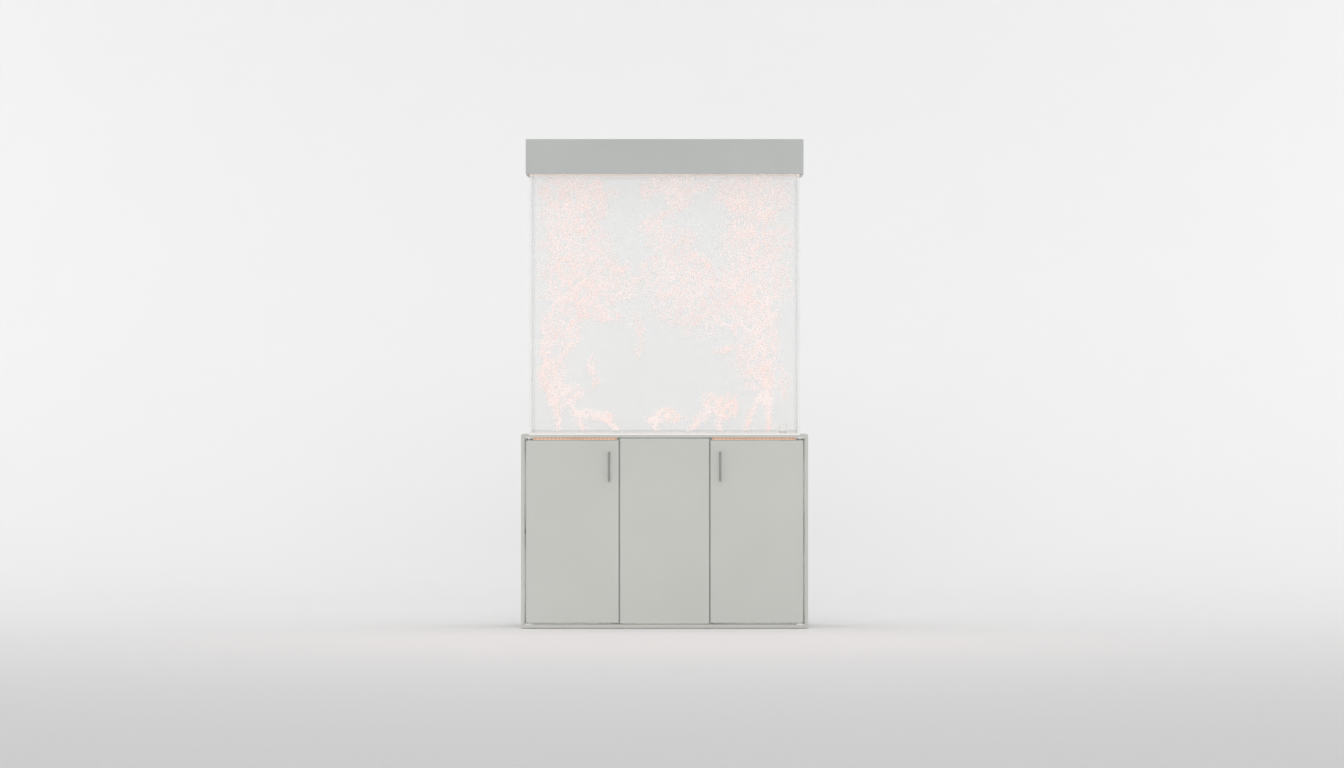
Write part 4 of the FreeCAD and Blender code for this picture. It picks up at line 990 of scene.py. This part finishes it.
def right_growth() -> Growth:
    """The tall right growth, which also fills the upper centre."""
    low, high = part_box("right_growth")
    lobes = [Lobe(*row) for row in (
        (0.045, 1.865, 0.15, 0.04, 1.0, 0.0, Depth.CROWN),
        (-0.078, 1.825, 0.028, 0.028, 1.1, 0.0, Depth.CROWN),
        (0.055, 1.80, 0.06, 0.05, 1.1, 0.0, Depth.CROWN), (0.0, 1.737, 0.05, 0.02, 1.0),
        (-0.062, 1.692, 0.045, 0.04, 1.3), (0.03, 1.63, 0.11, 0.06, 0.65),
        (0.06, 1.48, 0.17, 0.11, 0.8), (0.157, 1.545, 0.055, 0.013, 2.6, -37.0),
        (0.10, 1.345, 0.155, 0.075, 0.55), (0.15, 1.26, 0.10, 0.045, 0.3),
        (0.225, 1.298, 0.045, 0.018, 0.7, -35.0),
        (0.375, 1.82, 0.165, 0.085, 1.05, 0.0, Depth.CROWN),
        (0.31, 1.795, 0.05, 0.04, 1.0, 0.0, Depth.CROWN),
        (0.42, 1.745, 0.05, 0.025, 1.2, 0.0, Depth.MIDDLE), (0.345, 1.66, 0.04, 0.022, 1.5),
        (0.385, 1.63, 0.155, 0.11, 0.7), (0.39, 1.46, 0.16, 0.11, 0.75),
        (0.29, 1.40, 0.10, 0.09, 0.6), (0.385, 1.31, 0.10, 0.075, 0.8),
        (0.297, 1.252, 0.017, 0.026, 2.0), (0.44, 1.25, 0.05, 0.12, 0.8),
        (0.385, 1.13, 0.09, 0.10, 0.95), (0.252, 1.166, 0.04, 0.017, 1.3, 14.0),
        (0.435, 1.05, 0.035, 0.06, 1.9), (0.36, 1.01, 0.035, 0.018, 1.3),
        (0.43, 0.965, 0.03, 0.04, 1.4), (0.51, 1.05, 0.028, 0.11, 0.3))]
    legs = [Leg(0.438, 0.43, 1.02, 0.009), Leg(0.345, 0.412, 0.98, 0.008)]
    return Growth("right_growth", "right_growth", lobes, legs, low.y + PLATE_SKIN, high.y - PLATE_SKIN,
                  seed=23, ceiling=high.z - CROWN_SKIN)


def centre_bush() -> Growth:
    """The small bush in the middle."""
    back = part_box("left_growth")[1].y
    lobes = [Lobe(*row) for row in (
        (0.0, 0.876, 0.088, 0.019, 1.9), (0.005, 0.895, 0.045, 0.024, 1.9),
        (-0.055, 0.868, 0.03, 0.014, 1.8))]
    legs = [Leg(-0.037, -0.03, 0.873, 0.007)]
    return Growth("centre_bush", "small_growths", lobes, legs, back - 0.105, back - 0.008,
                  seed=31, ceiling=1.0)


def right_bush() -> Growth:
    """The small bush at the right, in front of the tall growth."""
    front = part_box("small_growths")[0].y
    lobes = [Lobe(*row) for row in (
        (0.235, 0.912, 0.08, 0.046, 1.8), (0.19, 0.965, 0.035, 0.026, 1.0),
        (0.275, 0.955, 0.045, 0.028, 1.4), (0.15, 0.875, 0.035, 0.018, 1.4))]
    legs = [Leg(0.11, 0.155, 0.87, 0.010), Leg(0.238, 0.24, 0.89, 0.008)]
    return Growth("right_bush", "small_growths", lobes, legs, front + 0.004, front + 0.056,
                  seed=43, ceiling=1.03)


# -------------------- sub-assemblies
Dressing = dict[Finish, tuple[str, ...]]


@dataclass
class SubAssembly:
    """A part of the object, with its carried-over nodes by finish."""

    title: str
    nodes: Dressing

    def build(self) -> None:
        """Give each of its nodes its finish."""
        for finish, names in self.nodes.items():
            finish.dress(*(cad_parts[name] for name in names))
            log.info("%s: %s on %s", self.title, finish.name, ", ".join(names))


@dataclass
class Cabinet(SubAssembly):
    """The boards, doors and fittings of the stand."""

    title: str = "cabinet"
    nodes: Dressing = field(default_factory=lambda: {
        Finishes.carcass: ("cabinet_left_side", "cabinet_right_side", "cabinet_top", "cabinet_bottom",
                           "cabinet_back", "left_divider", "right_divider", "left_shelf"),
        Finishes.front: ("centre_front_panel", "left_door_panel", "right_door_panel"),
        Finishes.handle: ("left_door_handle", "right_door_handle"),
        Finishes.plated: ("left_door_fittings", "right_door_fittings", "door_pivots",
                          "cabinet_hardware"),
        Finishes.dowel: ("carcass_dowels",),
        Finishes.glide: ("floor_glides",),
        Finishes.trim: ("cable_port_grommet",),
        Finishes.aluminium: ("accent_light_channels",),
        Finishes.warm_lens: ("accent_light_lenses",)})


@dataclass
class Tank(SubAssembly):
    """The panes, their seams and trim, the fittings in the floor and the growths."""

    title: str = "tank"
    nodes: Dressing = field(default_factory=lambda: {
        Finishes.glass: ("tank_front_pane", "tank_back_pane", "tank_left_pane", "tank_right_pane",
                         "tank_bottom_pane"),
        Finishes.brace: ("tank_brace",),
        Finishes.silicone: ("tank_seams",),
        Finishes.rim: ("tank_rim_trim",),
        Finishes.mat: ("tank_mat",),
        Finishes.fitting: ("bulkhead_fittings", "bulkhead_strainers")})

    def build(self) -> None:
        """Dress the tank and grow what stands in it."""
        super().build()
        for growth in (left_growth(), right_growth(), centre_bush(), right_bush()):
            growth.build()


@dataclass
class Hood(SubAssembly):
    """The lighting hood, its lid and its light."""

    title: str = "hood"
    nodes: Dressing = field(default_factory=lambda: {
        Finishes.hood: ("hood_front", "hood_back", "hood_left_side", "hood_right_side",
                        "hood_rear_strip", "hood_ledges", "hood_lid"),
        Finishes.plated: ("lid_hinge_fixed_leaves", "lid_hinge_lid_leaves"),
        Finishes.aluminium: ("light_housing",),
        Finishes.white_lens: ("light_lens",),
        Finishes.trim: ("hood_cable_gland",)})


@dataclass
class Filter(SubAssembly):
    """The canister filter and its hoses in the right bay."""

    title: str = "filter"
    nodes: Dressing = field(default_factory=lambda: {
        Finishes.filter_dark: ("filter_canister", "filter_head"),
        Finishes.media: ("filter_media",),
        Finishes.filter_grey: ("filter_primer", "filter_valve_lever", "filter_clamp_left",
                               "filter_clamp_right", "filter_impeller"),
        Finishes.ceramic: ("impeller_shaft",),
        Finishes.hose: ("intake_hose", "return_hose")})


# -------------------- studio
@dataclass(frozen=True)
class StudioPaper(Lacquer):
    """Seamless paper that can be seen from its front only, so that it never hides the object."""

    def material(self) -> bpy.types.Material:
        """The paper, mixed with a clear shader by the side that is seen."""
        made = super().material()
        nodes, graph = made.node_tree.nodes, Graph(made.node_tree)
        side = graph.add("ShaderNodeNewGeometry")
        clear = graph.add("ShaderNodeBsdfTransparent")
        mix = graph.add("ShaderNodeMixShader", Fac=side.outputs["Backfacing"])
        graph.feed(mix, ((1, nodes["Principled BSDF"].outputs[0]), (2, clear.outputs[0])))
        graph.feed(nodes["Material Output"], (("Surface", mix.outputs[0]),))
        return made


@dataclass(frozen=True)
class Lamp:
    """A rectangular area light that the camera doesn't see: its power in watts, its beam in degrees."""

    name: str
    place: Point
    aim: Point
    size: tuple[float, float]
    watts: float
    colour: Colour = (1.0, 1.0, 1.0)
    beam: float = 180.0

    def hang(self) -> None:
        """Add the light, turned from its place towards its aim."""
        light = bpy.data.lights.new(self.name, "AREA")
        light.shape = "RECTANGLE"
        light.size, light.size_y = self.size
        light.energy = self.watts
        light.color = self.colour
        light.spread = math.radians(self.beam)
        lamp = bpy.data.objects.new(self.name, light)
        bpy.context.scene.collection.objects.link(lamp)
        lamp.location = self.place
        lamp.rotation_mode = "QUATERNION"
        lamp.rotation_quaternion = (Vector(self.aim) - Vector(self.place)).to_track_quat("-Z", "Y")
        lamp.visible_camera = False


@dataclass
class Studio:
    """A pale swept floor, soft lights and the camera."""

    half_width: float = 70.0
    near_y: float = -70.0
    wall_y: float = 7.4
    sweep_radius: float = 3.4
    height: float = 45.0
    floor_colour: Colour = (0.80, 0.80, 0.80)
    camera_distance: float = 30.0
    camera_x: float = 0.031
    camera_z: float = 1.022
    lens: float = 192.26
    farthest_seen: float = 400.0
    ambient: float = 0.635
    bays: tuple[float, ...] = (-0.4, 0.0, 0.4)
    bay_levels: tuple[float, ...] = (0.21, 0.605)
    sweep_steps: int = 65

    def sweep(self) -> None:
        """Floor and wall in one sheet: a straight floor, a quarter circle, and a straight wall."""
        arc = np.linspace(0.0, math.pi / 2, self.sweep_steps)
        y = self.wall_y - self.sweep_radius + self.sweep_radius * np.sin(arc)
        z = self.sweep_radius * (1 - np.cos(arc))
        profile_y = np.concatenate([[self.near_y], y, [self.wall_y]])
        profile_z = np.concatenate([[0.0], z, [self.height]])
        left = np.stack([np.full_like(profile_y, -self.half_width), profile_y, profile_z], axis=1)
        right = left * np.array([-1.0, 1.0, 1.0])
        n = len(profile_y)
        i = np.arange(n - 1)
        near = np.stack([i, i + n, i + n + 1], axis=1)
        far = np.stack([i, i + n + 1, i + 1], axis=1)
        floor = new_piece("studio_sweep", np.concatenate([left, right]), np.concatenate([near, far]))
        StudioPaper("studio_paper", self.floor_colour, gloss=0.8, bump=0.05, depth=0.0001,
                    peel_scale=60.0, drift=0.04).dress(floor)

    def lamps(self) -> list[Lamp]:
        """Two lights on the wall, two soft ones on the object, two in each bay, and a faint pink one.

        Returns:
            The lights.
        """
        wall = [Lamp("wall_light", (side * 7.2, 3.2, 5.6), (side * 6.2, 6.8, 0.1), (6.0, 2.0), 86.0)
                for side in (-1.0, 1.0)]
        front = Lamp("front_light", (0.0, -60.0, 17.0), (0.0, 0.0, 1.1), (30.0, 12.0), 1060.0, beam=50.0)
        overhead = Lamp("overhead_light", (0.0, -1.0, 9.0), (0.0, 0.0, 0.0), (12.0, 9.0), 125.0,
                        beam=130.0)
        bays = [Lamp("bay_light", (x, -0.235, z), (x, 0.2, z), (0.34, 0.25), 0.85)
                for x in self.bays for z in self.bay_levels]
        pink = Lamp("pink_floor_light", (0.0, -2.0, 1.5), (0.0, -2.0, 0.0), (2.2, 1.6), 2.5,
                    colour=(1.0, 0.35, 0.2))
        return [*wall, front, overhead, *bays, pink]

    def light(self) -> None:
        """Fill the air with an even white light and hang the lamps."""
        world = bpy.data.worlds.new("studio_air")
        bpy.context.scene.world = world
        world.use_nodes = True
        background = world.node_tree.nodes["Background"]
        background.inputs["Color"].default_value = rgba((1.0, 1.0, 1.0))
        background.inputs["Strength"].default_value = self.ambient
        for lamp in self.lamps():
            lamp.hang()

    def camera(self) -> None:
        """A level camera straight in front, a little right of the middle."""
        data = bpy.data.cameras.new("front_camera")
        data.lens = self.lens
        data.sensor_width = 36.0
        data.clip_end = self.farthest_seen
        camera = bpy.data.objects.new("front_camera", data)
        bpy.context.scene.collection.objects.link(camera)
        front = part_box("left_door_panel")[0].y
        camera.location = (self.camera_x, front - self.camera_distance, self.camera_z)
        camera.rotation_euler = (math.pi / 2, 0.0, 0.0)
        bpy.context.scene.camera = camera

    def build(self) -> None:
        """Set up the studio."""
        self.camera()
        self.sweep()
        self.light()
        bpy.context.scene.view_settings.view_transform = "Standard"
        log.info("studio: camera, sweep and %d lamps", len(self.lamps()))


def main() -> None:
    """Build the studio and every sub-assembly in order."""
    logging.basicConfig(level=logging.INFO, format="%(name)s: %(message)s")
    for part in (Studio(), Cabinet(), Tank(), Hood(), Filter()):
        part.build()


if __name__ == "__main__":
    main()
